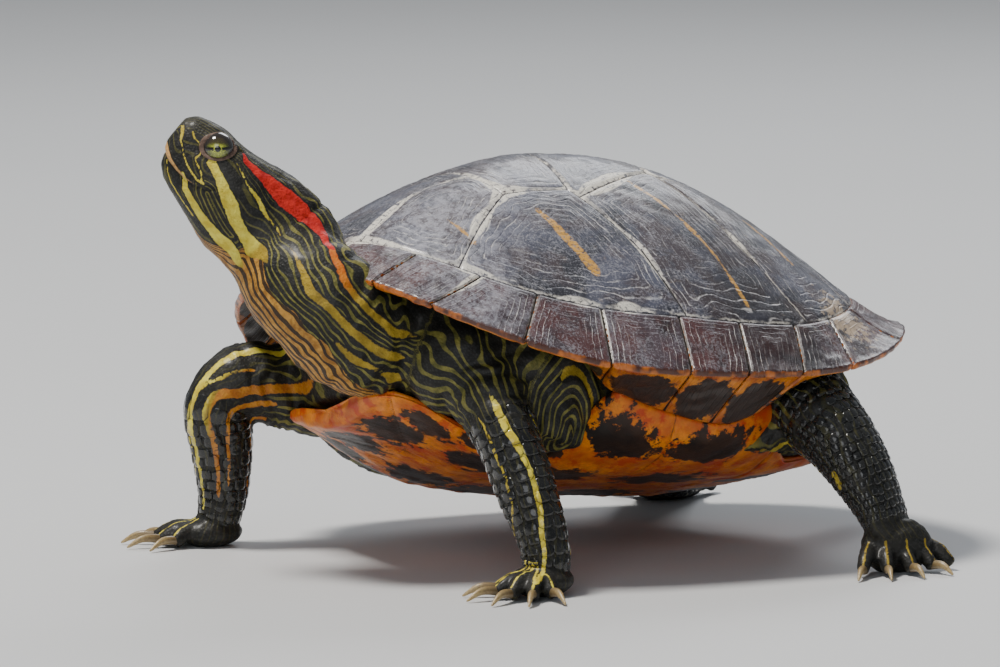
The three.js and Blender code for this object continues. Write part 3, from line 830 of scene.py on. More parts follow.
def half_sizes(limb, share):
    """Half width and half height at shares of the way along a limb's stations."""
    keys = np.array([(i, *station[1:3]) for i, station in enumerate(limb)], dtype=float)
    return smooth_keys(keys, share * (len(limb) - 1))


def tube(limb, side, columns, rows):
    """A closed tube: section a cos + b sin, square to the curve, drawn in towards both ends."""
    share = 0.5 - 0.5 * np.cos(np.linspace(0, np.pi, rows))
    centre = spline([station[0] for station in limb], share)
    across, up = square_to(unit(np.gradient(centre, axis=0)), side)
    wide, high = half_sizes(limb, share)
    near = np.clip(np.minimum(share, 1 - share) / TUBE_CAP, 0, 1)
    closing = np.sqrt(np.clip(1 - (1 - near) ** 2, 1e-6, 1))
    turn = circle(columns)
    return (
        centre[:, None] + across[:, None] * (wide * closing)[:, None, None]
        * np.cos(turn)[None, :, None]
        + up[:, None] * (high * closing)[:, None, None] * np.sin(turn)[None, :, None]
    )


def ball(centre, rx, ry, rz):
    """An ellipsoid as a grid from pole to pole."""
    down = np.linspace(1e-3, np.pi - 1e-3, 20)[:, None]
    turn = circle(32)
    return np.array(centre) + np.stack([
        rx * np.sin(down) * np.cos(turn), ry * np.sin(down) * np.sin(turn),
        rz * np.cos(down) * np.ones_like(turn),
    ], axis=-1)


# %% [markdown]
# ## Head and neck
#
# The head has a frame of its own: ahead along the snout, left, and up through the crown, with
# its middle between the eyes. It is lifted and turned a little to the animal's right. Its
# outline is a table of crown, throat and half width at distances along it.

# %% The head's frame and outline
HEAD_MIDDLE = np.array([120.0, 3.0, LIFT + 83.0]) - PLAN_MIDDLE
HEAD_PITCH, HEAD_YAW = math.radians(40.0), math.radians(-20.0)
EYE_AT = np.array([0.4, 5.9, 0.2])
EYE_RADIUS = 4.9
HEAD_TURN = np.array(
    Matrix.Rotation(HEAD_YAW, 3, "Z") @ Matrix.Rotation(-HEAD_PITCH, 3, "Y")
)
HEAD_LEFT = HEAD_TURN[:, 1]
HEAD_KEYS = np.array([           # ahead of the eyes, crown, throat, half width
    (-36, 8.8, -26.6, 13.4), (-23, 8.0, -26.4, 13.7), (-14, 6.2, -25.0, 13.7),
    (-7, 5.4, -22.3, 12.7), (0, 5.8, -19.9, 10.7), (4, 5.6, -18.5, 8.9),
    (8, 4.6, -16.4, 6.9), (11, 3.2, -12.8, 5.0), (12.6, 1.4, -8.4, 3.0),
])


def from_head(points):
    """Head coordinates to the frame."""
    return np.asarray(points, dtype=float) @ HEAD_TURN.T + HEAD_MIDDLE


def to_head(points):
    """Frame coordinates to the head's."""
    return (points - HEAD_MIDDLE) @ HEAD_TURN


def at_rim(x, y, z):
    """A place given from the middle of the shell's rim, with the axes of the floor."""
    return np.array([x, y, z + LIFT]) - PLAN_MIDDLE


def head_section(ahead):
    """Centre, half width and half height of the head at a distance ahead of the eyes."""
    crown, throat, half = smooth_keys(HEAD_KEYS, np.array([float(ahead)]))
    return from_head((ahead, 0, 0.5 * (crown[0] + throat[0]))), half[0], 0.5 * (crown[0] - throat[0])


def skull():
    """The head as sections from the nape to the snout, a little squarer than ovals."""
    share = np.linspace(0, 1, 70)
    ahead = mix(-30.0, 13.1, 1 - (1 - share) ** 1.5)
    crown, throat, half = smooth_keys(HEAD_KEYS, ahead)
    inside = mix(0.9, 1, smoothstep(ahead, -30, -16))
    crown, throat, half = crown * inside, throat * inside, half * inside
    turn = circle(64)
    closing = np.where((share < 1e-9) | (share > 1 - 1e-9), 1e-3, 1.0)
    c, s = np.cos(turn), np.sin(turn)
    fullness = mix(1, 0.86, smoothstep(ahead, -26, -12))[:, None]
    wide = np.sign(c) * np.abs(c) ** fullness
    high = np.sign(s) * np.abs(s) ** fullness
    points = np.stack([
        ahead[:, None] * np.ones_like(c), (half * closing)[:, None] * wide,
        0.5 * (crown + throat)[:, None] + (0.5 * (crown - throat) * closing)[:, None] * high,
    ], axis=-1)
    return from_head(points)


def stations(*rows):
    """Places on a limb's middle line, each with a half width and a half height."""
    return [(at_rim(*row[:3]), row[3], row[4]) for row in rows]


# The neck runs from inside the head back to the trunk, bowed to the animal's left.
in_head = [head_section(ahead) for ahead in (-19, -25, -33)]
NECK_STATIONS = [(middle, 0.99 * wide, 0.99 * high) for middle, wide, high in in_head]
NECK_STATIONS += stations(
    (101, 20, 44, 14.5, 17.6), (96, 28, 37, 15.5, 18.2), (87, 29, 28.5, 17.5, 18.8),
    (72, 24, 26, 18.5, 18.5), (58, 16, 20, 17, 16),
)
print("the neck has", len(NECK_STATIONS), "stations")

# %% The legs, toes and tail
LEGS = {
    "front_left": {
        "side": (1, 0.25, 0),
        "stations": stations(
            (54, 40, 18, 15, 15), (54.5, 56, 10, 11.5, 12), (53.5, 67.5, -1.5, 9.4, 9.8),
            (51, 75, -16, 8.8, 9.2), (48.5, 80.5, -29, 7.6, 7.8), (48, 83, -38, 7.4, 6.4),
            (50, 84, -44.4, 5.5, 5)),
        "palm": (at_rim(50, 84, -42.6), 10, 8.5, 5),
        "toes": [(-16, 13), (8, 15.5), (33, 16.5), (58, 15), (86, 12)],
        "root": lambda i: at_rim(51.5, 85, -43),
        "thick": 2.7, "claw": 11, "claws": 5,
    },
    "front_right": {
        "side": (0.2, 1, 0),
        "stations": stations(
            (60, -38, -1, 14, 15), (76, -43, 2, 12.5, 13), (91, -46, 4, 11, 12.2),
            (98, -47, -3, 9.6, 11), (97, -48, -16, 8.8, 9.6), (96, -49.5, -30, 7.6, 7.8),
            (97, -50.5, -38, 7.2, 6.6), (99, -51, -44.4, 5.5, 5)),
        "palm": (at_rim(99.5, -51, -42.6), 10, 8.5, 5),
        "toes": [(18, 13), (-6, 15.5), (-30, 16.5), (-55, 15), (-84, 12)],
        "root": lambda i: at_rim(101, -51.5, -43),
        "thick": 2.7, "claw": 11, "claws": 5,
    },
    "hind_left": {
        "side": (0.75, 0.25, 0.6),
        "stations": stations(
            (-45, 38, 4, 16, 16), (-51, 56, 2, 15.5, 14), (-56, 69, -6, 14.2, 11.5),
            (-61, 77, -17, 12.5, 9.5), (-65, 82, -28, 11.5, 6.8), (-68, 86, -38, 11, 4.8)),
        "palm": (at_rim(-68, 87, -39), 12, 7, 8.8),
        "toes": [(52, 12), (70, 13), (88, 13), (107, 12), (128, 11)],
        "root": lambda i: at_rim(-59.5 - 4.4 * i, 86.5 - 0.6 * i, -39.5),
        "thick": 2.6, "claw": 9, "claws": 4,
    },
    "hind_right": {
        "side": (0.9, -0.3, 0.2),
        "stations": stations(
            (-45, -36, -12, 15, 13), (-52, -52, -19, 14, 11), (-58, -62, -27, 12.5, 9.5),
            (-64, -71, -33, 11.5, 7.5), (-70, -78, -39.5, 11, 5.5), (-74, -83, -42.5, 11, 4)),
        "palm": (at_rim(-75, -84, -43), 13, 9, 4.6),
        "toes": [(-62, 12), (-84, 13.5), (-104, 14), (-126, 13), (-148, 11)],
        "root": lambda i: at_rim(-66.5 - 4.6 * i, -85 + 0.5 * i, -43.3),
        "thick": 2.6, "claw": 9, "claws": 4,
    },
}
TAIL = stations(
    (-72, 0, -8, 10, 8), (-86, -3, -15, 7, 6.5), (-97, -8, -21, 5, 4.6),
    (-107, -14, -27, 3.1, 2.8), (-115, -20, -32, 1.2, 1.1))
print("legs:", {name: len(leg["stations"]) for name, leg in LEGS.items()})


# %% Toes and claws
def toe_line(root, heading, reach, tip_height):
    """Root, knuckle and tip of a toe, and the way it points."""
    way = np.array([math.cos(math.radians(heading)), math.sin(math.radians(heading)), 0])
    tip = root + way * reach
    tip[2] = tip_height
    knuckle = mix(root, tip, 0.55)
    knuckle[2] += 0.16 * reach
    return root, knuckle, tip, way


def toe_lines(leg):
    """The lines of a foot's five toes."""
    return [toe_line(leg["root"](i), heading, reach, 0.7 * leg["thick"])
            for i, (heading, reach) in enumerate(leg["toes"])]


def toe(line, thick):
    """A toe as a short tube."""
    root, knuckle, tip, way = line
    across = (-way[1], way[0], 0)
    bones = [(root, 1.15 * thick, 1.05 * thick), (knuckle, thick, thick),
             (tip, 0.72 * thick, 0.8 * thick)]
    return tube(bones, across, 20, 20)


def claw(line, length, thick):
    """A claw: a curved cone from under the toe's tip down to the floor."""
    tip, way = line[2], line[3]
    across = (-way[1], way[0], 0)
    start = tip - way * 0.35 * length + np.array([0, 0, 0.4])
    middle = tip + way * 0.42 * length + np.array([0, 0, 0.05 * length + 0.7])
    end = tip + way * 0.92 * length
    end[2] = 0.55
    horn = [(start, thick, 1.1 * thick), (middle, 0.72 * thick, 0.85 * thick),
            (end, 0.3, 0.32)]
    return tube(horn, across, 20, 30)


print("toes:", sum(len(toe_lines(leg)) for leg in LEGS.values()))

# %% [markdown]
# ## One skin over everything
#
# The tubes overlap inside the animal. A voxel remesh wraps them in one closed skin. Voxels
# are all one size, so space is swollen round the head and the near foot before the remesh and
# shrunk back after it: fine detail where it shows, and coarse where the shell hides it.

# %% Swelling and shrinking space
FINE_PLACES = [                  # centre, reach, gain
    (from_head((-3, 0, -8)), 30.0, 2.3),
    (at_rim(55, 86, -42), 24.0, 1.9),
    (at_rim(100, -52, -42), 22.0, 1.6),
    (at_rim(-72, 87, -40), 24.0, 1.7),
    (at_rim(-6, 0, 12), 62.0, 0.35),
]
VOXEL = 1.139


def swell(points, centre, reach, gain):
    """Points pushed away from a centre: distance r becomes r (1 + (gain - 1) e^-(r/reach)^2)."""
    away = points - centre
    r = np.linalg.norm(away, axis=-1, keepdims=True)
    return centre + away * (1 + (gain - 1) * np.exp(-(r / reach) ** 2))


def shrink(points, centre, reach, gain):
    """The opposite of swell, by reading its table of distances backwards."""
    away = points - centre
    swollen = np.linalg.norm(away, axis=-1)
    r = np.linspace(0, 400, 40001)
    table = r * (1 + (gain - 1) * np.exp(-(r / reach) ** 2))
    real = np.interp(swollen, table, r)
    return centre + away * (real / np.maximum(swollen, 1e-9))[..., None]


print("places with a voxel size of their own:", len(FINE_PLACES))


# %% The trunk, and all the tubes
def trunk_core():
    """The body inside the shell, as the frame's trunk: under the dome, over the plastron."""
    angle = circle(120)
    reach = rim_reach(angle)
    share = bridge_share(APEX_X + reach * np.cos(angle))
    edge = mix(0.8, BRIDGE_SEAM_RHO - 0.08, share)

    def belly(rho):
        x = APEX_X + reach * rho * np.cos(angle)
        x = np.clip(x, PLASTRON_REAR, PLASTRON_FRONT)
        return smooth_keys(PLASTRON_KEYS, x)[1] + PLASTRON_THICKNESS + 0.8

    rows = [on_dome(angle, edge * s, -SHELL_THICKNESS - 2.2)
            for s in (1e-4, 0.3, 0.55, 0.78, 0.94, 1)]
    top_z = dome_height(angle, edge) - SHELL_THICKNESS - 2.2
    mid = mix(top_z, belly(edge), mix(0.55, 0.72, share))
    rows.append(from_apex(angle, edge + mix(0.03, 0, share), mid))
    for open_share, bridged in ((0.97, 0.76), (0.6, 0.5), (1e-4, 1e-4)):
        rho = edge * mix(open_share, bridged, share)
        rows.append(from_apex(angle, rho, belly(rho)))
    return standing(np.stack(rows))


def flesh_tubes():
    """Every tube and ball of the body, as grids."""
    grids = [trunk_core(), skull(), tube(NECK_STATIONS, HEAD_LEFT, 48, 90),
             tube(TAIL, (0, 1, 0), 24, 50)]
    grids += [ball(at_rim(56, 41, 19), 19, 19, 17), ball(at_rim(34, 53, 6), 15, 10, 15),
              ball(at_rim(60, -37, 1), 17, 17, 16),
              ball(at_rim(-52, 42, 2), 21, 19, 18), ball(at_rim(-52, -40, -14), 20, 18, 13)]
    for leg in LEGS.values():
        grids.append(tube(leg["stations"], leg["side"], 36, 70))
        grids.append(ball(*leg["palm"]))
        grids += [toe(line, leg["thick"]) for line in toe_lines(leg)]
    return grids


def with_ends(grid):
    """A grid with a row at each end whose points all lie in the middle of that end."""
    ends = [np.repeat(grid[i][None].mean(axis=1, keepdims=True), grid.shape[1], 1)
            for i in (0, -1)]
    return np.concatenate([ends[0], grid, ends[1]])


def closed_grid(gathered, grid):
    """Adds a grid wrapped round, its two end rows drawn to a point, facing outwards."""
    grid = with_ends(grid)
    centre = grid.reshape(-1, 3).mean(axis=0)
    down = np.roll(grid, -1, axis=0) - grid
    across = np.roll(grid, -1, axis=1) - grid
    facing = np.sum(np.cross(across, down)[:-1] * (grid - centre)[:-1])
    gathered.add(grid if facing > 0 else grid[::-1], wrap_columns=True)


# %% The remesh
def remeshed_skin():
    """The tubes in swollen space, remeshed by voxels, and shrunk back."""
    tubes = Gathered()
    for grid in flesh_tubes():
        for place in FINE_PLACES:
            grid = swell(grid, *place)
        closed_grid(tubes, grid)
    piece = mended(tubes.piece("skin"))
    remesh = piece.modifiers.new("wrap", "REMESH")
    remesh.mode = "VOXEL"
    remesh.voxel_size = VOXEL * MM
    smooth = piece.modifiers.new("even", "SMOOTH")
    smooth.factor = 0.5
    smooth.iterations = 4
    graph = bpy.context.evaluated_depsgraph_get()
    wrapped = bpy.data.meshes.new_from_object(piece.evaluated_get(graph))
    piece.modifiers.clear()
    piece.data = wrapped
    points = read(wrapped.vertices, "co", 3).reshape(-1, 3).astype(float) / MM
    for place in reversed(FINE_PLACES):
        points = shrink(points, *place)
    return piece, points


skin, skin_points = remeshed_skin()
print("skin:", len(skin_points), "points", len(skin.data.polygons), "faces")

# %% [markdown]
# ## Finding one's way on the skin
#
# Stripes, folds and scales follow the limbs, so each point of the skin is given an address on
# its limb: how far along the limb's middle line it lies, and the angle round that line. It is
# like the length and the turn of a point on a rolled-up map. On the neck the length is zero
# at the eyes and falls towards the shoulder, and the angle runs from the crown at 0, over the
# side at 90, to the throat at 180 degrees.

# %% Addresses on limbs
LINE_POINTS = 160


def middle_line(places):
    """Closely spaced points along the curve through the places, and the way at each."""
    line = spline(places, np.linspace(0, 1, LINE_POINTS))
    return line, unit(np.gradient(line, axis=0))


def addresses(points, line, way, side, soft=60.0):
    """Length along the line, angle round it from the upper side in degrees, and distance.

    The foot of a point is the mean of the line's points, weighted by e^-(d2 - least d2)/soft,
    so that addresses change smoothly even inside a sharp bend.
    """
    table = np.concatenate([line, way, path_length(line, 0)[:, None]], axis=1)[::2]
    foot = np.empty((len(points), 7))
    for start in range(0, len(points), 4000):
        some = points[start:start + 4000]
        gap = ((some**2).sum(axis=1)[:, None] - 2 * some @ table[:, :3].T
               + (table[:, :3] ** 2).sum(axis=1)[None, :])
        share = np.exp(-(gap - gap.min(axis=1, keepdims=True)) / soft)
        foot[start:start + 4000] = (share @ table) / share.sum(axis=1, keepdims=True)
    off = points - foot[:, :3]
    t = unit(foot[:, 3:6])
    length = foot[:, 6] + np.sum(off * t, axis=1)
    left, up = square_to(t, side)
    up *= np.sign(up.mean(axis=0) @ np.array([0.2, 0, 1.0]))
    angle = np.degrees(np.arctan2(np.sum(off * left, axis=1), np.sum(off * up, axis=1)))
    return length, angle, np.linalg.norm(off, axis=1)


HEAD_LINE = [(13, -4.3), (8, -5.9), (4, -6.5), (0, -7.1), (-7, -8.5), (-14, -9.4)]
head_places = [from_head((a, 0, u)) for a, u in HEAD_LINE]
NECK_LINE, NECK_WAY = middle_line(head_places + [station[0] for station in NECK_STATIONS])
near_eyes = np.linalg.norm(NECK_LINE - from_head((0, 0, -7.1)), axis=1).argmin()
NECK_START = np.linalg.norm(np.diff(NECK_LINE[:near_eyes + 1], axis=0), axis=1).sum()
neck_length, neck_angle, neck_off = addresses(skin_points, NECK_LINE, NECK_WAY, -HEAD_LEFT)
neck_length = NECK_START - neck_length
print("neck addresses run from", round(neck_length.min()), "to", round(neck_length.max()), "mm")

# %% Which limb a point belongs to
def leg_line(leg):
    """Middle line of a leg and the way it runs."""
    return middle_line([station[0] for station in leg["stations"]])


def leg_addresses(points):
    """Addresses of points on each of the four legs."""
    return {name: addresses(points, *leg_line(leg), leg["side"]) for name, leg in LEGS.items()}


leg_address = leg_addresses(skin_points)
reach = np.stack([address[2] for address in leg_address.values()] + [neck_off])
limb_of = reach.argmin(axis=0)
print("points on each limb", np.bincount(limb_of))

# %% [markdown]
# ## Stripes
#
# A slider's head, neck and legs are black with stripes that keep to their place in every
# animal: the red patch behind the eye, a yellow stripe below it, thin olive lines between.
# Each stripe is a short list of addresses with a half width. The distance from a point of the
# skin to the stripe's edge, negative inside, becomes an attribute, and the material only has
# to look at its sign. That keeps every edge crisp at any distance.

# %% Where the stripes run: length, angle and half width
MM_PER_DEGREE = 0.245            # on a neck 14 mm in radius
RED_STRIPES = [
    [(-5, 30, 0.5), (-7, 38, 1.1), (-13, 40, 1.5), (-18, 41, 2.2), (-25, 43, 3.1),
     (-32, 41, 2.7), (-40, 37, 2.0), (-46, 36, 1.2), (-53, 36, 0.8)],
]
PALE_STRIPES = [
    [(0, 75, 1.5), (-5, 82, 1.5), (-9, 89, 1.9), (-13, 95, 2.3), (-17, 105, 1.8),
     (-22, 113, 1.8), (-28, 116, 2.5), (-34, 115, 2.8), (-40, 112, 1.8), (-46, 113, 0.3)],
    [(3, 124, 0.7), (-1, 134, 1.2), (-9, 135, 1.4), (-14, 134, 1.5), (-20, 138, 1.8),
     (-25, 139, 1.6), (-31, 140, 0.9), (-37, 140, 0.2)],
    [(14, 42, 0.30), (11, 90, 0.35), (7, 105, 0.35), (4, 110, 0.35), (-1, 109, 0.35),
     (-3, 104, 0.3)],
    [(11, 50, 0.2), (9, 60, 0.25), (5, 74, 0.2), (4, 91, 0.2), (0, 97, 0.25), (-3, 108, 0.2)],
    [(-5, 50, 0.15), (-13, 63, 0.25), (-18, 66, 0.6), (-21, 72, 0.8), (-25, 78, 0.35),
     (-36, 81, 0.1)],
    [(9, 150, 0.3), (3, 154, 0.35), (-3, 151, 0.35), (-8, 148, 0.35)],
]
NECK_STRIPES = [
    [(-53, 36, 0.8), (-58, 45, 0.9), (-61, 55, 0.9), (-65, 59, 0.9), (-71, 64, 0.9),
     (-75, 74, 1.0), (-82, 81, 1.0), (-94, 84, 0.9)],
    [(-45, 80, 0.1), (-50, 76, 0.4), (-54, 78, 0.9), (-58, 88, 1.25), (-62, 87, 1.0),
     (-70, 89, 1.0), (-79, 101, 1.0), (-84, 108, 0.9), (-94, 112, 0.8)],
    [(-67, 108, 0.4), (-71, 110, 1.0), (-75, 113, 0.4)],
    [(-77, 119, 0.5), (-80, 124, 1.7), (-84, 127, 0.6)],
]
LEG_STRIPES = {
    "front_left": [
        [(25, 38, 0.4), (30, 38, 1.1), (35, 36, 1.2), (41, 27, 1.1), (48, 21, 0.9),
         (54, 23, 0.9), (60, 27, 0.9), (66, 37, 0.9), (73, 38, 0.9), (82, 46, 0.5)],
        [(29, 74, 0.3), (39, 73, 0.5), (48, 71, 0.5), (56, 81, 0.5), (64, 120, 0.5)],
        [(32, -21, 0.3), (41, -41, 0.4), (56, -50, 0.45), (72, -53, 0.4)],
        [(35, 150, 0.5), (55, 150, 0.6), (75, 150, 0.4)],
    ],
    "front_right": [
        [(4, 20, 0.9), (22, 30, 0.9), (33, 28, 0.9), (46, 22, 0.9), (62, 25, 0.8), (76, 30, 0.6)],
        [(16, 84, 1.1), (30, 92, 1.2), (37, 84, 1.3), (41, 56, 1.2), (45, 52, 1.1),
         (52, 66, 0.9), (70, 70, 0.7)],
        [(24, 112, 0.7), (36, 112, 0.8), (43, 92, 0.7), (50, 92, 0.6), (66, 92, 0.5)],
        [(30, 62, 0.35), (37, 48, 0.4), (42, 24, 0.4), (52, 10, 0.35), (66, 5, 0.3)],
        [(30, -60, 0.5), (50, -60, 0.5), (70, -55, 0.4)],
        [(30, 140, 0.5), (50, 145, 0.5), (70, 145, 0.4)],
    ],
    "hind_left": [
        [(48, 112, 0.9), (52, 116, 0.9)],
        [(20, -150, 0.7), (40, -160, 0.8), (60, -170, 0.6)],
        [(22, 165, 0.5), (40, 160, 0.5), (58, 155, 0.4)],
    ],
    "hind_right": [
        [(20, 60, 0.8), (40, 50, 0.8), (58, 40, 0.6)],
        [(24, 110, 0.5), (42, 105, 0.5)],
        [(20, -160, 0.7), (44, -150, 0.6)],
    ],
}
GUIDE_LENGTHS = [-95, -82, -76, -71, -66, -62, -58, -52, -46, -40, -33, -29, -26, -22, -19, -12,
                 -6, 0, 15]
GUIDE_ANGLES = {                 # degrees at those lengths
    "red": [88, 81, 75, 64, 60, 57, 45, 37, 36, 37, 41, 43, 43, 42, 41, 40, 34, 28, 20],
    "yellow": [114, 108, 97, 89, 89, 87, 88, 76, 80, 84, 82, 80, 79, 74, 68, 62, 53, 49, 45],
    "tan": [168, 156, 141, 128, 116, 121, 117, 123, 119, 111, 106, 107, 118, 132, 145, 162,
            180, 180, 180],
}
GUIDE_LINES = [0, 3, 7.5, 12, 19]   # thin lines counted from the crown down to the throat
print("stripes:", len(RED_STRIPES + PALE_STRIPES + NECK_STRIPES), "on head and neck")


# %% Distances from the stripes
def stripe_distance(length, angle, stripes, per_degree=MM_PER_DEGREE):
    """Distance in mm to the nearest stripe's edge, negative inside it.

    A stripe is a row of places, each with a half width. On the stretch between two places,
    the nearest point is found by projection, and the half width there is taken away.
    """
    best = np.full(len(length), 99.0)
    at = np.stack([length, angle * per_degree], axis=-1)
    for stripe in stripes:
        keys = np.array(stripe, dtype=float)
        keys[:, 1] *= per_degree
        for a, b in zip(keys, keys[1:]):
            share, gap = to_stretch(at, a[:2], b[:2])
            best = np.minimum(best, gap - mix(a[2], b[2], share))
    return best


def guide(name, length):
    """Angle of a guide line at a length along the neck."""
    return np.interp(length, GUIDE_LENGTHS, GUIDE_ANGLES[name])


def line_count(length, angle):
    """A number that rises by one from each thin line of the neck to the next."""
    knots = [0 * length, guide("red", length), guide("yellow", length), guide("tan", length),
             180 + 0 * length]
    count = np.zeros(len(length))
    for low, high, a, b in zip(knots, knots[1:], GUIDE_LINES, GUIDE_LINES[1:]):
        inside = (angle >= low) & (angle <= high)
        count = np.where(inside, a + (b - a) * (angle - low) / np.maximum(high - low, 1), count)
    return count


# %% Markings as attributes
AXILLA = at_rim(31, 60, -2)      # the folds of skin behind the near shoulder circle this place
AXILLA_SHAPE = np.array([1.15, 1.0, 0.62])
CHEEK = np.array([(-6.0, 109.0), (-19.0, 124.0)])


def toe_distance(points, leg):
    """Distance in plan to the yellow line on each toe's back."""
    best = np.full(len(points), 9.0)
    for line in toe_lines(leg):
        root, _, _, way = line
        away = points - root
        run = away @ way
        aside = np.abs(away[:, 0] * way[1] - away[:, 1] * way[0])
        best = np.where((run > 3) & (run < 16), np.minimum(best, aside - 0.32), best)
    return best


def markings(points, length, angle, limb, off, legs):
    """All the attributes that the materials of skin and scales read, for any points.

    red, yellow and tan are distances to edges; hue turns the stripes from pale yellow at 0
    to orange at 1; lines counts thin lines and fine is how clearly they show.
    """
    side = np.abs(angle)
    neck = (limb == 4) & (off < 28)
    red = np.where(neck, stripe_distance(length, side, RED_STRIPES), 9.0)
    pale = stripe_distance(length, side, PALE_STRIPES)
    lateral = stripe_distance(length, side, NECK_STRIPES)
    to_leg = np.min([address[2] for address in legs.values()], axis=0) - off
    taper = 1.4 * (1 - smoothstep(to_leg, 0, 9))   # the stripes thin out towards the legs
    yellow = np.where(neck, np.minimum(pale, lateral) + taper, 9.0)
    tan = (guide("tan", length) - side) * MM_PER_DEGREE
    tan = np.where(neck, tan + 4 * taper, 9.0)
    warp = 0.7 * waves(points, 9.0, 41)
    lines = line_count(length, side) + 0.35 * warp
    orange = smoothstep(length, -70, -56) * (1 - smoothstep(length, -50, -44))
    orange *= 1 - smoothstep(side, 62, 70)
    hue = mix(0.45, 1.0, orange) * (1 - smoothstep(length, -34, -26))
    hue = np.maximum(hue, 0.22 * smoothstep(length, 1, 5))
    fine = 0.42 + 0.58 * (1 - smoothstep(length, -44, -14))
    along = np.clip((length - CHEEK[0, 0]) / (CHEEK[1, 0] - CHEEK[0, 0]), 0, 1)
    middle = mix(CHEEK[0, 1], CHEEK[1, 1], along)
    beyond = length - mix(CHEEK[0, 0], CHEEK[1, 0], along)
    swirl = np.hypot(beyond * 0.75, (side - middle) * MM_PER_DEGREE)
    cheek = neck & (swirl < 4.2) & (yellow > 0.1)
    lines = np.where(cheek, swirl / 1.45 + 0.12, lines)
    fine = np.where(cheek, 0.8, fine)
    tan = np.where(cheek & (swirl < 3.9), np.maximum(tan, 1.0), tan)
    fine = np.where(neck, fine, 0.5)
    for number, (name, (run, turn, _)) in enumerate(legs.items()):
        mine = limb == number
        on_leg = stripe_distance(run, turn, LEG_STRIPES[name], 0.17)
        yellow = np.where(mine, np.where(run > 6, on_leg, 9.0), yellow)
        lines = np.where(mine, turn / 15 + 0.35 * warp + 40, lines)
        fine = np.where(mine, 0.15 + 0.85 * (1 - smoothstep(run, 20, 32)), fine)
        warmth = 0.8 if name == "front_right" else 0.3
        hue = np.where(mine, warmth * smoothstep(np.abs(turn), 45, 60), hue)
    ring = np.linalg.norm((points - AXILLA) * AXILLA_SHAPE, axis=1)
    folds = (ring < 17) & (limb < 4)
    lines = np.where(folds, ring / 1.75 + 0.15 * warp, lines)
    fine = np.where(folds, np.maximum(fine, 1 - smoothstep(ring, 12, 17)), fine)
    behind = folds & (points[:, 0] < AXILLA[0] + 3)
    yellow = np.where(behind, np.minimum(yellow, np.abs(ring - 12.3) - 0.8), yellow)
    hue = np.where(folds, 0.4, hue)
    for number, (name, leg) in enumerate(LEGS.items()):
        toe = toe_distance(points, leg)
        near = (limb == number) & (points[:, 2] > 3) & (points[:, 2] < 11)
        yellow = np.where(near, np.minimum(yellow, toe), yellow)
        hue = np.where(near, 0.4 if "hind" in name else 0.0, hue)
        lines = np.where(near & (toe < 4), 0.0, lines)
    return {"red": red, "yellow": yellow, "tan": tan, "hue": hue, "lines": lines, "fine": fine}


skin_marks = markings(skin_points, neck_length, neck_angle, limb_of, neck_off, leg_address)
print("points in the red patches:", int((skin_marks["red"] < 0).sum()))

# %% [markdown]
# ## Folds, mouth and lids
#
# The remeshed skin is smooth. Folds, the mouth and the eyelids are made by moving its points
# along their own normals: a groove is a bell curve of the distance from a line, pointing
# inwards. Round the eye every point keeps its direction from the eyeball's middle and only
# its distance changes, so lids that hug the eyeball can't cross one another.

# %% Tools that move the skin
def soften(points, edges, weight, rounds):
    """Each point moves to the mean of its neighbours, by its weight, in every round."""
    count = np.bincount(edges.ravel(), minlength=len(points)).astype(float)
    for _ in range(rounds):
        total = np.zeros_like(points)
        for axis in range(3):
            total[:, axis] = np.bincount(edges[:, 0], points[edges[:, 1], axis], len(points))
            total[:, axis] += np.bincount(edges[:, 1], points[edges[:, 0], axis], len(points))
        points = points + weight[:, None] * (total / count[:, None] - points)
    return points


def point_normals(mesh, points):
    """Unit normals at the points, the sum of the crosses of each face's diagonals."""
    quads = read(mesh.loops, "vertex_index", 1, np.int32).reshape(-1, 4)
    a, b, c, d = (points[quads[:, i]] for i in range(4))
    cross = np.cross(c - a, d - b)
    normal = np.zeros_like(points)
    for axis in range(3):
        for corner in range(4):
            normal[:, axis] += np.bincount(quads[:, corner], cross[:, axis], len(points))
    return normal / np.maximum(np.linalg.norm(normal, axis=1, keepdims=True), 1e-9)


def bell(distance, width):
    """1 at distance 0, falling off as e^-(distance/width)^2."""
    return np.exp(-(distance / width) ** 2)


def path_distance(points, path):
    """Distance from flat points to a path of straight stretches."""
    return stripe_distance(points[:, 0], points[:, 1], [[(x, y, 0) for x, y in path]], 1.0)


# %% The mouth, the nostrils and the folds of the neck
MOUTH = [(13.2, -9.9), (11.2, -11.4), (9.2, -12.5), (5.9, -13.2), (2.3, -13.4), (-0.7, -12.9),
         (-3.6, -11.8), (-5.7, -10.2), (-6.8, -9.3)]   # ahead and up, in the head's frame
NOSTRIL = np.array([11.7, 1.5, -2.6])
NAPE_FOLDS = [(-33.5, 0.8), (-49.5, 0.7), (-57, 0.5), (-64, 0.5), (-42, 0.35)]


def over_mouth(flat):
    """How far flat points of the head lie above the line of the mouth."""
    ahead, up = np.array(MOUTH[::-1]).T
    return flat[:, 1] - np.interp(flat[:, 0], ahead, up)


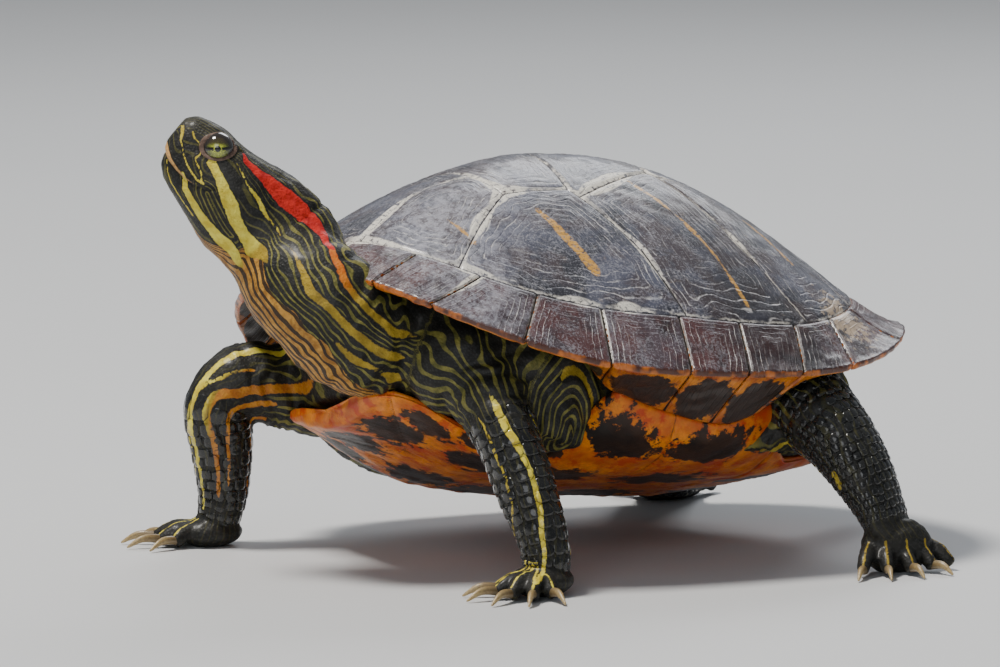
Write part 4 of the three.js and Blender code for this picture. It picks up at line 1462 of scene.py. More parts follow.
def head_relief(head, length, angle):
    """How far head and neck move out, in millimetres."""
    flat = np.stack([head[:, 0], head[:, 2]], axis=-1)
    near = path_distance(flat, MOUTH)
    over = over_mouth(flat)
    ahead = smoothstep(flat[:, 0], -8.5, -3)
    out = -1.0 * bell(near, 0.42) * smoothstep(flat[:, 0], -8.0, -5.5)
    out += 0.45 * bell(over - 1.3, 1.0) * ahead * (near < 4)
    out -= 0.40 * bell(over + 1.1, 0.9) * ahead * (near < 4)
    for side in (1, -1):
        pit = np.linalg.norm(head - NOSTRIL * np.array([1, side, 1]), axis=1)
        out -= 1.1 * bell(pit, 0.75)
    fold = np.zeros(len(head))
    for place, depth in NAPE_FOLDS:
        wander = 0.8 * waves(head, 11.0, int(-place))
        fold -= depth * bell(length - place + wander, 0.9)
    out += fold * (1 - smoothstep(np.abs(angle), 50, 75)) * smoothstep(-length, 28, 33)
    slack = smoothstep(-length, 55, 75) * (1 - smoothstep(-length, 95, 105))
    out += slack * 0.45 * np.sin(2 * np.pi * (length + 1.6 * waves(head, 16.0, 4)) / 6.5)
    return out


def body_relief(points):
    """Loose folds on the legs' roots, and an all-over unevenness."""
    out = 0.10 * waves(points, 7.0, 8) + 0.05 * waves(points, 3.0, 9)
    for number, (run, _, off) in enumerate(leg_address.values()):
        mine = (limb_of == number) & (off < 22)
        loose = smoothstep(run, 8, 16) * (1 - smoothstep(run, 30, 36))
        crease = np.sin(2 * np.pi * (run + 1.2 * waves(points, 12.0, 12)) / 5.2)
        out += np.where(mine, 0.45 * loose * crease, 0)
        joint = bell(run - 52, 5.0) + bell(run - 70, 4.0)
        out += np.where(mine, -0.25 * joint * (0.5 + 0.5 * np.cos(2 * np.pi * run / 3.4)), 0)
    ring = np.linalg.norm((points - AXILLA) * AXILLA_SHAPE, axis=1)
    swirl = np.sin(2 * np.pi * (ring / 4.6 + 0.12 * waves(points, 12.0, 21)))
    return out + 0.55 * swirl * (1 - smoothstep(ring, 17, 24)) * (limb_of < 4)


skin_edges = read(skin.data.edges, "vertices", 2, np.int32).reshape(-1, 2)
crease = bell(neck_length + 29, 7.0) * (neck_off < 26) * (limb_of == 4)
skin_points = soften(skin_points, skin_edges, 0.6 * crease, 60)
outward = point_normals(skin.data, skin_points)
if np.sum(outward * (skin_points - skin_points.mean(axis=0))) < 0:
    outward = -outward
is_head = (limb_of == 4) & (neck_off < 30)
relief = body_relief(skin_points)
relief += np.where(is_head, head_relief(to_head(skin_points), neck_length, neck_angle), 0)
relief *= mix(1, 0.5, smoothstep(neck_length, -20, -10) * is_head)
skin_points = skin_points + outward * relief[:, None]
print("relief from", round(relief.min(), 2), "to", round(relief.max(), 2), "mm")

# %% The lids
LID_HALF_LENGTH, LID_HALF_HEIGHT = 4.9, 3.0


def eye_frame(side):
    """Middle of an eye, the way it looks, and a level and an upright line square to that."""
    place = EYE_AT * np.array([1, side, 1])
    gaze = unit(HEAD_TURN @ np.array([0.06, 0.995 * side, 0.0]))
    level = unit(np.cross([0, 0, 1.0], gaze))
    return from_head(place), gaze, level, np.cross(gaze, level)


def shape_lids(points, side):
    """Points near an eye drawn onto it as lids, and out of sight inside the opening."""
    middle, gaze, level, upright = eye_frame(side)
    off = points - middle
    r = np.linalg.norm(off, axis=1)
    x, y, out = off @ level, off @ upright, off @ gaze
    half = np.where(y > 0, LID_HALF_HEIGHT * 1.02, LID_HALF_HEIGHT * 0.98)
    oval = (np.abs(x / LID_HALF_LENGTH) ** 1.55 + np.abs(y / half) ** 1.9) ** (1 / 1.72)
    rim = EYE_RADIUS + 0.10 + 0.75 * smoothstep(oval, 0.98, 1.22)
    crest = 0.25 * bell(oval - 1.28, 0.10)
    groove = -0.35 * bell(oval - 1.52, 0.07)
    blend = smoothstep(oval, 1.25, 1.75)
    target = mix(np.minimum(rim, r + 0.9), r, blend) + crest + groove
    target = np.where(oval < 0.96, EYE_RADIUS - 1.2, target)
    near = (r < 14) & (out > 0) & (oval < 2.2)
    scale = np.where(near, target / np.maximum(r, 1e-6), 1.0)
    return middle + off * scale[:, None], np.where(near, oval, 9.0)


skin_points, left_oval = shape_lids(skin_points, 1)
skin_points, right_oval = shape_lids(skin_points, -1)
skin_marks["lid"] = np.minimum(left_oval, right_oval)
skin_points[:, 2] = np.maximum(skin_points[:, 2], 0.0)   # soles are flat on the floor
final_head = to_head(skin_points)
mouth_flat = np.stack([final_head[:, 0], final_head[:, 2]], axis=-1)
above_mouth = over_mouth(mouth_flat)
beak_width = np.interp(mouth_flat[:, 0], [-6, 0, 8, 13], [0.0, 0.8, 1.6, 2.3])
skin_marks["beak"] = np.where(
    is_head & (mouth_flat[:, 0] > -6), np.maximum(above_mouth - beak_width, -above_mouth), 9.0)
skin.data.vertices.foreach_set("co", (skin_points * MM).astype(np.float32).ravel())
for key, values in skin_marks.items():
    store(skin.data, key, values)
skin.data.update()
skin.data.shade_smooth()
print("skin finished with attributes", sorted(skin_marks))

# %% [markdown]
# ## Eyes and claws
#
# An eyeball is a ball with its pole where it looks, so that rings of points run round the
# pupil. The numbers that colour the iris are lengths measured square to the gaze. A claw is
# a curved cone whose tip rests on the floor.

# %% Eyeballs
def build_eyes():
    """Both eyeballs as one mesh, with the distances from the gaze and from the level line."""
    eyes = Gathered()
    for side in (1, -1):
        middle, gaze, level, upright = eye_frame(side)
        down = np.linspace(0, np.pi, 44)[:, None]
        turn = circle(64)
        x = EYE_RADIUS * np.sin(down) * np.cos(turn)
        y = EYE_RADIUS * np.sin(down) * np.sin(turn)
        out = EYE_RADIUS * np.cos(down) * np.ones_like(turn)
        points = middle + x[..., None] * level + y[..., None] * upright + out[..., None] * gaze
        eyes.add(points[::side], wrap_columns=True, across=x[::side], raised=y[::side])
    return mended(eyes.piece("eyes"), turn_outwards=True)


eyes = build_eyes()
print("eyes:", len(eyes.data.vertices), "points")

# %% Claws
def build_claws(name, leg):
    """The claws of one foot as one mesh, with the share of the way to the tip."""
    foot = Gathered()
    for line in toe_lines(leg)[:leg["claws"]]:
        grid = with_ends(claw(line, leg["claw"], 0.52 * leg["thick"]))
        foot.add(grid, wrap_columns=True, tip=np.linspace(0, 1, len(grid))[:, None])
    return mended(foot.piece("claws_" + name), turn_outwards=True)


claw_pieces = {name: build_claws(name, leg) for name, leg in LEGS.items()}
print("claws:", sum(leg["claws"] for leg in LEGS.values()))

# %% [markdown]
# ## Scales of the legs
#
# The legs of a slider are covered by flat, glossy, rather square scales, set like bricks in
# rings round the limb. They are made all at once: an array of middles on the limb's surface,
# times one small dome. Each scale's texture patch lies where its root is on the limb's own
# unrolled surface, a thousandth or so across.

# %% Surface of a limb, and the scales on it
SCALE_SIZE = {                   # spacing along and round each limb, mm
    "front_left": (3.7, 5.6), "front_right": (3.7, 5.0),
    "hind_left": (2.6, 3.0), "hind_right": (2.6, 3.0),
}
SCALE_RINGS = np.array([0.0, 0.62, 0.90, 1.0, 0.97, 0.0])
SCALE_HEIGHTS = np.array([0.44, 0.40, 0.26, -0.06, -0.55, -0.60])
SCALE_SIDES = 12
ABOVE_FLOOR = 0.7                # scales lower than this are left out
SCALE_POINTS = len(SCALE_RINGS) * SCALE_SIDES
SCALED = {"front_left": (30, 84), "front_right": (44, 84), "hind_left": (24, 68),
          "hind_right": (26, 64)}


def on_limb(leg, run, turn, above):
    """Points on a limb's tube at lengths and angles in radians, moved out by above."""
    line, way = leg_line(leg)
    share = np.interp(run, path_length(line, 0), np.linspace(0, 1, len(line)))
    at = share * (len(line) - 1)
    low = np.minimum(at.astype(int), len(line) - 2)
    part = (at - low)[..., None]
    centre = mix(line[low], line[low + 1], part)
    across, up = square_to(mix(way[low], way[low + 1], part), leg["side"])
    wide, high = half_sizes(leg["stations"], share)
    c, s = np.cos(turn), np.sin(turn)
    return centre + across * ((wide + above) * c)[..., None] + up * ((high + above) * s)[..., None]


def mean_radius(leg):
    """Mean of a leg's half widths and half heights."""
    return np.mean([station[1:3] for station in leg["stations"]])


def scale_middles(name, leg, draw):
    """Lengths, angles and half sizes of the scales of one leg, in brick order."""
    runs, turns, sizes = [], [], []
    start, end = SCALED[name]
    row_height, width = SCALE_SIZE[name]
    for run in np.arange(start, end, row_height):
        shrink_by = mix(1.0, 0.75, (run - start) / (end - start))
        count = int(2 * np.pi * mean_radius(leg) * 0.85 / (width * shrink_by * draw.uniform(0.9, 1.1)))
        turn = (np.arange(count) + draw.uniform(0, 1)) / count * 2 * np.pi
        runs.append(run + draw.normal(0, 0.3, count))
        turns.append(turn + draw.normal(0, 0.02, count))
        sizes.append(np.full(count, shrink_by) * draw.uniform(0.92, 1.08, count))
    return np.concatenate(runs), np.concatenate(turns), np.concatenate(sizes)


def build_scales():
    """Points and texture patches of all the leg scales, one row of numbers to a scale."""
    draw = np.random.default_rng(31)
    around = circle(SCALE_SIDES)
    box = (np.abs(np.cos(around)) ** 8 + np.abs(np.sin(around)) ** 8) ** -0.125
    points, patches = [], []
    for number, (name, leg) in enumerate(LEGS.items()):
        run, turn, size = scale_middles(name, leg, draw)
        across = (SCALE_RINGS[:, None] * box * np.cos(around))[None] * size[:, None, None]
        along = (SCALE_RINGS[:, None] * box * np.sin(around))[None] * size[:, None, None]
        row_height, width = SCALE_SIZE[name]
        runs = run[:, None, None] + along * row_height * 0.58
        turns = turn[:, None, None] + across * width * 0.57 / mean_radius(leg)
        lean = 0.22 * along * (SCALE_HEIGHTS[:, None] > -0.3)
        above = SCALE_HEIGHTS[None, :, None] * size[:, None, None] + lean
        shape = on_limb(leg, runs, turns, above - 0.12)
        points.append(shape.reshape(-1, SCALE_POINTS, 3))
        root = np.stack([(number + 0.1 + 0.8 * (turn / (2 * np.pi) % 1)) / 4, run / 100], -1)
        spread = np.stack([across, along], axis=-1) * 0.0015
        patches.append((root[:, None, None] + spread).reshape(-1, SCALE_POINTS, 2))
    return np.concatenate(points), np.concatenate(patches)


scale_points, scale_patches = build_scales()
print("scales:", len(scale_points))

# %% The scales as a piece
DEEPEST = 0.9                    # a scale whose middle lies deeper in the skin is left out


def outside_skin(tops):
    """True where a point isn't more than DEEPEST below the finished skin."""
    graph = bpy.context.evaluated_depsgraph_get()
    tree = BVHTree.FromObject(skin, graph)
    keep = np.zeros(len(tops), dtype=bool)
    for number, top in enumerate(tops * MM):
        spot, normal, _, _ = tree.find_nearest(Vector(top))
        keep[number] = (Vector(top) - spot).dot(normal) > -DEEPEST * MM
    return keep


def scales_piece():
    """The scales that show, with the same markings as the skin and their patches."""
    keep = outside_skin(scale_points[:, :SCALE_SIDES].mean(axis=1))
    keep &= scale_points[:, :, 2].min(axis=1) > ABOVE_FLOOR
    count = keep.sum()
    points = scale_points[keep].reshape(-1, 3)
    starts = np.arange(count)[:, None, None] * SCALE_POINTS
    faces = (grid_faces(len(SCALE_RINGS), SCALE_SIDES, True) + starts).reshape(-1, 4)
    patches = scale_patches[keep].reshape(-1, 2)
    legs = leg_addresses(points)
    limb = np.stack([address[2] for address in legs.values()]).argmin(axis=0)
    far = np.full(len(points), 99.0)
    marks = markings(points, far, far, limb, far, legs)
    draw = np.random.default_rng(77)
    marks["tone"] = np.repeat(draw.uniform(0, 1, count), SCALE_POINTS)
    rim = np.where(SCALE_HEIGHTS < -0.3, 1.1, SCALE_RINGS)
    marks["rim"] = np.tile(np.repeat(rim, SCALE_SIDES), count)
    piece = new_piece("leg_scales", points, faces, marks)
    layer = piece.data.uv_layers.new(name="OFBake")
    corners = read(piece.data.loops, "vertex_index", 1, np.int32)
    layer.data.foreach_set("uv", patches[corners].astype(np.float32).ravel())
    return mended(piece, merge=False, turn_outwards=True)


leg_scales = scales_piece()
print("scales that show:", len(leg_scales.data.vertices) // SCALE_POINTS)

# %% [markdown]
# # Colours
#
# Materials are networks of small nodes. A few helpers make them short to write. What more
# than one material needs, such as growth lines, seams, flecks and the turtle's stripes, is
# a node group, built once, that hands colours, masks and heights to each material.

# %% Helpers for materials
class Wires:
    """Short calls that add nodes to a tree and link them, at the place that is being shaded."""

    def __init__(self, tree):
        self.tree, self.place, self.shader = tree, None, None

    def add(self, kind, **settings):
        """A new node, with some of its settings."""
        node = self.tree.nodes.new(kind)
        for key, value in settings.items():
            setattr(node, key, value)
        return node

    def put(self, socket, value):
        """Links a socket to another, or gives it a number or a colour."""
        if isinstance(value, bpy.types.NodeSocket):
            self.tree.links.new(value, socket)
        elif isinstance(value, tuple) and len(value) == 3 and socket.type == "RGBA":
            socket.default_value = (*value, 1.0)
        else:
            socket.default_value = value

    def math(self, kind, a, b=0.0):
        """One step of arithmetic on two values."""
        node = self.add("ShaderNodeMath", operation=kind)
        self.put(node.inputs[0], a)
        self.put(node.inputs[1], b)
        return node.outputs[0]

    def chain(self, kind, values):
        """The first value, joined with each of the others in turn."""
        total = values[0]
        for value in values[1:]:
            total = self.math(kind, total, value)
        return total

    def times(self, *values):
        """Product of the values."""
        return self.chain("MULTIPLY", values)

    def plus(self, *values):
        """Sum of the values."""
        return self.chain("ADD", values)

    def minus(self, value, taken):
        """The value with the second one taken away."""
        return self.math("SUBTRACT", value, taken)

    def fall(self, value, low, high):
        """1 below low, 0 above high, with a smooth step between."""
        return self.span(value, low, high, 1.0, 0.0)

    def attribute(self, name):
        """The number that the mesh keeps with its points under a name."""
        return self.add("ShaderNodeAttribute", attribute_name=name).outputs["Fac"]

    def span(self, value, low, high, start=0.0, end=1.0):
        """start below low, end above high, with a smooth step between."""
        node = self.add("ShaderNodeMapRange", interpolation_type="SMOOTHSTEP")
        for name, number in (("Value", value), ("From Min", low), ("From Max", high),
                             ("To Min", start), ("To Max", end)):
            self.put(node.inputs[name], number)
        return node.outputs[0]

    def colour(self, share, a, b):
        """Colour a at share 0, b at share 1."""
        node = self.add("ShaderNodeMix", data_type="RGBA")
        self.put(node.inputs["Factor"], share)
        self.put(node.inputs[6], a)
        self.put(node.inputs[7], b)
        return node.outputs[2]

    def find_place(self):
        """Object coordinates in millimetres."""
        node = self.add("ShaderNodeVectorMath", operation="SCALE")
        self.put(node.inputs[0], self.add("ShaderNodeTexCoord").outputs["Object"])
        node.inputs["Scale"].default_value = 1 / MM
        self.place = node.outputs[0]

    def fill(self, node, **values):
        """Puts values on a node's sockets of those names."""
        for name, value in values.items():
            self.put(node.inputs[name], value)
        return node.outputs

    def noise(self, size, detail=3.0, rough=0.55, distortion=0.0):
        """Cloudy noise whose lumps are about that many millimetres across."""
        return self.fill(self.add("ShaderNodeTexNoise"), Vector=self.place, Scale=1 / size,
                         Detail=detail, Roughness=rough, Distortion=distortion)[0]

    def cells(self, size):
        """Distance to the nearest of points scattered about that many millimetres apart."""
        node = self.add("ShaderNodeTexVoronoi", feature="F1")
        return self.fill(node, Vector=self.place, Scale=1 / size)["Distance"]

    def use(self, group, **values):
        """A node group at this place, with values for its other sockets."""
        node = self.add("ShaderNodeGroup", node_tree=group)
        return self.fill(node, Place=self.place, **values)

    def shade(self, **looks):
        """Links values to the sockets of the material's shader."""
        self.fill(self.shader, **{name.replace("_", " "): looks[name] for name in looks})

    def bump(self, height, depth, strength=1.0):
        """Normals of a relief that is about that many millimetres deep."""
        return self.fill(self.add("ShaderNodeBump"), Strength=strength, Distance=depth * MM,
                         Height=height)[0]


# %% Starting a group or a material
SOCKET_KINDS = {"Place": "NodeSocketVector", "Ground": "NodeSocketColor",
                "Colour": "NodeSocketColor"}


def new_group(name, inputs, outputs):
    """A node group with sockets named in two lists of words, and helpers for its inside."""
    tree = bpy.data.node_groups.new(name, "ShaderNodeTree")
    for labels, way in ((inputs, "INPUT"), (outputs, "OUTPUT")):
        for label in labels.split():
            kind = SOCKET_KINDS.get(label, "NodeSocketFloat")
            tree.interface.new_socket(name=label, in_out=way, socket_type=kind)
    wires = Wires(tree)
    entry = wires.add("NodeGroupInput").outputs
    wires.place = entry["Place"]
    return tree, wires, entry, wires.add("NodeGroupOutput").inputs


def new_material(name, **constants):
    """A material with its shader's constant values set on its own sockets."""
    material = bpy.data.materials.new(name)
    material.use_nodes = True
    wires = Wires(material.node_tree)
    wires.shader = material.node_tree.nodes["Principled BSDF"]
    wires.shade(**constants)
    wires.find_place()
    return material, wires


# %% [markdown]
# ## Node groups
#
# Seams: a thin dark crack with a chalky, broken line beside it, where old horn flakes away.
# Growth lines: every season leaves a ridge round the plate, so they are read from the
# distance to the seam. Flecks: dust, dried algae and worn spots.

# %% Seams, growth lines and flecks
def build_seams():
    """Crack, chalk and a height from the distance to a seam in mm."""
    tree, w, i, o = new_group("seams", "Seam Chalk Place", "Crack Chalk Height")
    ragged = w.noise(2.2, 4.0, 0.7)
    wander = w.plus(i["Seam"], w.span(ragged, 0.2, 0.8, -0.16, 0.16))
    w.put(o["Crack"], w.span(wander, 0.05, 0.30, 0.9, 0.0))
    broad = w.span(i["Chalk"], 0.0, 1.5, 0.50, 3.2)
    inside = w.minus(broad, wander)
    line = w.span(inside, -0.15, 0.35)
    off = w.span(wander, 0.18, 0.34)
    patchy = w.span(w.noise(9.0, 3.0, 0.6), 0.36, 0.56)
    kept = w.math("MAXIMUM", patchy, w.span(i["Chalk"], 0.25, 0.8))
    flaky = w.span(w.noise(1.6, 4.0, 0.75), 0.36, 0.50)
    w.put(o["Chalk"], w.times(line, off, w.times(kept, flaky)))
    w.put(o["Height"], w.span(wander, 0.0, 0.6))
    return tree


def build_growth():
    """Light and dark lines of growth, and their height."""
    tree, w, i, o = new_group("growth lines", "Grown Spacing Place", "Line Height")
    wander = w.span(w.noise(9.0, 2.0, 0.5), 0.2, 0.8, -0.5, 0.5)
    phase = w.math("DIVIDE", w.plus(i["Grown"], wander), i["Spacing"])
    saw = w.math("FRACT", phase)
    ridge = w.math("ABSOLUTE", w.minus(saw, 0.5))
    thin = w.fall(ridge, 0.0, 0.15)
    broken = w.span(w.noise(6.0, 5.0, 0.75), 0.46, 0.60)
    near = w.span(i["Grown"], 3.0, 12.0, 1.6, 0.42)
    w.put(o["Line"], w.times(thin, broken, near))
    w.put(o["Height"], w.times(thin, near))
    return tree


def build_flecks():
    """Cloudy tone, small pale flecks and scratches, for horn of any kind."""
    tree, w, _, o = new_group("flecks", "Place", "Cloud Fleck Grain")
    w.put(o["Cloud"], w.span(w.noise(16.0, 5.0, 0.62, 0.6), 0.34, 0.66))
    fine = w.noise(0.75, 3.0, 0.8)
    dense = w.span(w.noise(7.0, 3.0, 0.6), 0.35, 0.65)
    cut = w.minus(fine, w.times(dense, 0.10))
    w.put(o["Fleck"], w.span(cut, 0.46, 0.54))
    w.put(o["Grain"], w.noise(0.5, 4.0, 0.7))
    return tree


# %% Hide and stripes
def build_hide():
    """The grain of turtle skin: small beads, with finer ones between."""
    tree, w, i, o = new_group("hide", "Place Coarse", "Height Bead")
    bead = w.fall(w.cells(0.9), 0.0, 0.75)
    fine = w.fall(w.cells(0.42), 0.0, 0.8)
    w.put(o["Bead"], bead)
    w.put(o["Height"], w.plus(w.times(bead, i["Coarse"]), w.times(fine, 0.35)))
    return tree


def build_stripes():
    """Colour of skin or scales from the distances to the stripes' edges."""
    tree, w, i, o = new_group("stripes", "Ground Red Yellow Tan Hue Lines Fine Place", "Colour")
    ragged = w.span(w.noise(1.6, 3.0, 0.6), 0.25, 0.75, -0.20, 0.20)

    def edge(distance):
        return w.fall(w.plus(distance, ragged), -0.16, 0.16)

    cloud = w.noise(3.2, 3.0, 0.6)

    def tint(dark, light, low=0.3, high=0.7):
        return w.colour(w.span(cloud, low, high), dark, light)

    saw = w.math("FRACT", i["Lines"])
    ridge = w.math("ABSOLUTE", w.minus(saw, 0.5))
    wide = w.span(w.noise(7.0, 2.0, 0.5), 0.3, 0.7, 0.05, 0.14)
    wide = w.plus(wide, w.times(i["Fine"], 0.06))
    thin = w.fall(w.minus(ridge, wide), -0.03, 0.03)
    border = w.span(w.math("MINIMUM", i["Yellow"], i["Red"]), 0.45, 0.75)
    shown = w.times(thin, border, i["Fine"])
    olive = tint((0.078, 0.076, 0.016), (0.23, 0.205, 0.042))
    base = w.colour(shown, i["Ground"], olive)
    ochre = tint((0.28, 0.12, 0.014), (0.54, 0.28, 0.05), 0.35, 0.65)
    broad = w.minus(ridge, w.times(wide, 1.45))
    tan = w.colour(w.span(broad, -0.03, 0.03, 0.95, 0.0), ochre, (0.022, 0.012, 0.007))
    base = w.colour(edge(i["Tan"]), base, tan)
    pale = tint((0.58, 0.44, 0.030), (0.80, 0.70, 0.09))
    dull = tint((0.26, 0.17, 0.012), (0.44, 0.30, 0.025))
    orange = tint((0.46, 0.08, 0.004), (0.62, 0.18, 0.012))
    stripe = w.colour(w.span(i["Hue"], 0.05, 0.45), pale, dull)
    stripe = w.colour(w.span(i["Hue"], 0.6, 0.95), stripe, orange)
    base = w.colour(edge(i["Yellow"]), base, stripe)
    red = tint((0.36, 0.005, 0.004), (0.66, 0.025, 0.014))
    w.put(o["Colour"], w.colour(edge(i["Red"]), base, red))
    return tree


SEAMS, GROWTH, FLECKS = build_seams(), build_growth(), build_flecks()
HIDE, STRIPES = build_hide(), build_stripes()
print("node groups:", [group.name for group in bpy.data.node_groups])

# %% [markdown]
# ## Horn of the back
#
# The side and middle plates are slate grey with pale flecks and weathered seams, and the
# front of the shell has a pale bloom with painted sheen. The rim plates are warmer, and their
# edge is orange where the sun and the water have worn it. Their undersides are orange-yellow
# with one dark blotch each. The masks for those places are worked out from each plate's own numbers.

# %% Where the horn is chalky, pale with bloom and painted sheen, muddy or barred
CHALK_PLACES = [                 # x, distance from the midline, reach, strength
    (72, 30, 15, 1.2), (52, 46, 9, 1.0), (3, 30, 13, 1.5), (39, 36, 9, 1.2), (-4, 46, 8, 1.1),
    (2, 56, 8, 0.7), (44, 24, 8, 0.6), (-17, 22, 8, 0.7), (-35, 46, 8, 0.6),
    (86, 30, 9, 0.9), (63, 62, 8, 0.9), (30, 72, 7, 0.8), (14, 68, 6, 0.8), (85, 8, 8, 0.5),
]
BLOOM_AND_SHEEN_PLACES = [                 # the same for a pale bloom with painted sheen; below 0 it is darker
    (64, 40, 22, 0.9), (28, 26, 22, 0.4), (62, 66, 14, 0.6), (22, 74, 14, 0.3),
    (-34, 74, 20, -0.9), (-20, 45, 16, -0.3),
]
SMEAR = (-66, 58, 8, 1.0)        # dried mud near the tail
YELLOW_BARS = [                  # plan line on each side plate, with half widths
    [(31.5, 44, 1.0), (27, 51, 1.4), (21, 61, 1.2)],
    [(-5, 28, 0.4), (-17.6, 43, 0.5), (-24.3, 53, 0.6), (-28.5, 65, 0.5)],
    [(62, 40, 0.5), (57, 52, 0.6)],
    [(-45, 32, 0.4), (-55, 44, 0.6)],
]


def plan_of(piece):
    """Shell coordinates, ahead and to the left, stored with a piece's points."""
    return [read(piece.data.attributes[key].data, "value") for key in ("back_x", "back_y")]


def around(x, y, places):
    """Strength of each place at points: most at its middle, a bell curve round it."""
    return [strength * bell(np.hypot(x - px, y - py), far) for px, py, far, strength in places]


def back_marks(piece):
    """Adds how chalky the seams are, pale bloom with painted sheen and mud, and the distance to the
    yellow bars.
    """
    x, y = plan_of(piece)
    side = np.abs(y)
    store(piece.data, "chalk", np.max(around(x, side, CHALK_PLACES), axis=0))
    store(piece.data, "bloom_and_sheen", np.sum(around(x, side, BLOOM_AND_SHEEN_PLACES), axis=0))
    store(piece.data, "smear", around(x, y, [SMEAR])[0])
    store(piece.data, "bar", stripe_distance(x, side, YELLOW_BARS, 1.0))


# %% Horn
def horn_material(name, dark, slate, warm, line, rim):
    """Horn: clouded ground, growth lines, flecks, bars and seams, with the rim's colours."""
    material, w = new_material(name, Coat_Weight=0.32, Coat_Roughness=0.16, Specular_IOR_Level=0.5)
    flecks = w.use(FLECKS)
    seam = w.use(SEAMS, Seam=w.attribute("seam"), Chalk=w.attribute("chalk"))
    growth = w.use(GROWTH, Grown=w.attribute("grown"), Spacing=GROWTH_SPACING)
    tone = w.attribute("tone")
    ground = w.colour(flecks["Cloud"], dark, slate)
    drift = w.plus(w.noise(11.0, 4.0, 0.6), w.times(tone, 0.12))
    ground = w.colour(w.span(drift, 0.48, 0.66, 0.0, 0.8), ground, warm)
    ground = w.colour(w.times(flecks["Fleck"], 0.42), ground, (0.36, 0.36, 0.40))
    # pale bloom with painted sheen where this number is above 0, darker where it is below 0
    bloom_and_sheen = w.attribute("bloom_and_sheen")
    dust_and_sheen = w.plus(w.noise(3.2, 5.0, 0.78), w.times(bloom_and_sheen, 0.08))
    dust_and_sheen = w.times(w.span(dust_and_sheen, 0.44, 0.68), w.span(bloom_and_sheen, 0.0, 0.8, 0.0, 0.55))
    dust_and_sheen = w.plus(dust_and_sheen, w.span(bloom_and_sheen, 0.1, 0.9, 0.0, 0.06))
    ground = w.colour(dust_and_sheen, ground, (0.44, 0.44, 0.50))
    ground = w.colour(w.span(bloom_and_sheen, -0.8, 0.0, 0.65, 0.0), ground, (0.010, 0.008, 0.009))
    strength = w.span(bloom_and_sheen, 0.1, 0.8, line, 1.3 * line)
    ground = w.colour(w.times(growth["Line"], strength), ground, (0.56, 0.54, 0.53))
    mud = w.plus(w.attribute("smear"), w.span(w.noise(2.5, 4.0, 0.7), 0.3, 0.7, -0.5, 0.5))
    ground = w.colour(w.span(mud, 0.40, 0.75, 0.0, 0.85), ground, (0.46, 0.35, 0.24))
    bar = w.plus(w.attribute("bar"), w.span(drift, 0.3, 0.8, -0.6, 0.6))
    streaks = w.span(w.noise(1.2, 4.0, 0.7), 0.38, 0.52)
    yellow = w.times(w.span(bar, -0.3, 0.3, 0.9, 0.0), streaks)
    ground = w.colour(yellow, ground, (0.64, 0.33, 0.045))
    if rim:
        from_rim, under = w.attribute("from_rim"), w.attribute("under")
        along = w.attribute("along")
        wander = w.span(w.noise(3.0, 4.0, 0.65), 0.25, 0.75, -0.9, 0.9)
        edge = w.plus(from_rim, w.times(wander, 0.45))
        lip = w.fall(edge, -0.6, 0.4)
        glow = w.span(w.noise(9.0, 3.0, 0.6), 0.44, 0.60)
        worn = w.colour(glow, (0.085, 0.020, 0.008), (0.60, 0.16, 0.012))
        ground = w.colour(lip, ground, worn)
        middle = w.math("ABSOLUTE", w.minus(along, 0.5))
        oval = w.plus(w.math("POWER", w.times(middle, 2.5), 2.0),
                      w.math("POWER", w.times(w.minus(under, 0.52), 2.4), 2.0))
        oval = w.plus(oval, w.times(wander, 0.50))
        belly = w.colour(w.span(w.noise(6.0), 0.3, 0.7), (0.34, 0.055, 0.004), (0.66, 0.22, 0.014))
        blotch = w.colour(w.noise(2.0, 4.0), (0.010, 0.007, 0.006), (0.05, 0.025, 0.015))
        belly = w.colour(w.fall(oval, 1.28, 1.50), belly, blotch)
        ground = w.colour(w.fall(from_rim, -2.4, -1.6), ground, belly)
    chalk = seam["Chalk"]
    if rim:
        chalk = w.times(chalk, w.span(w.attribute("from_rim"), -1.0, 0.6))
    ground = w.colour(chalk, ground, (0.74, 0.70, 0.62))
    ground = w.colour(seam["Crack"], ground, (0.012, 0.009, 0.008))
    w.shade(Base_Color=ground)
    worn = w.plus(w.span(flecks["Grain"], 0.3, 0.7, 0.28, 0.46), w.times(chalk, 0.3))
    w.shade(Roughness=worn)
    height = w.plus(w.times(seam["Height"], 0.8), w.times(growth["Height"], 0.30))
    height = w.plus(height, w.times(flecks["Grain"], 0.30))
    height = w.plus(height, w.times(w.noise(2.4, 4.0, 0.6), 0.45))
    w.shade(Normal=w.bump(height, 0.30, 0.9))
    return material


for piece in (vertebral_plates, costal_plates, marginal_plates):
    back_marks(piece)
    mended(piece)
slate_horn = horn_material("slate horn", (0.022, 0.022, 0.030), (0.080, 0.084, 0.122),
                           (0.052, 0.034, 0.036), 0.50, False)
rim_horn = horn_material("rim horn", (0.020, 0.013, 0.015), (0.074, 0.050, 0.060),
                         (0.085, 0.024, 0.022), 0.24, True)
finished(vertebral_plates, slate_horn, ["carapace"])
finished(costal_plates, slate_horn, ["carapace"])
finished(marginal_plates, rim_horn, ["carapace"])

# %% Bone bed
bone, w = new_material("bed of the shell", Roughness=0.7)
w.shade(Base_Color=w.colour(w.noise(3.0), (0.012, 0.009, 0.007), (0.035, 0.022, 0.015)))
w.shade(Normal=w.bump(w.noise(1.5), 0.2))
finished(carapace_bed, bone, ["carapace"])

# %% [markdown]
# ## Horn of the belly
#
# A slider's belly is yellow to orange, with a dark figure on each plate, the same on left
# and right. Each figure is an oval here, and noise makes its edge ragged.

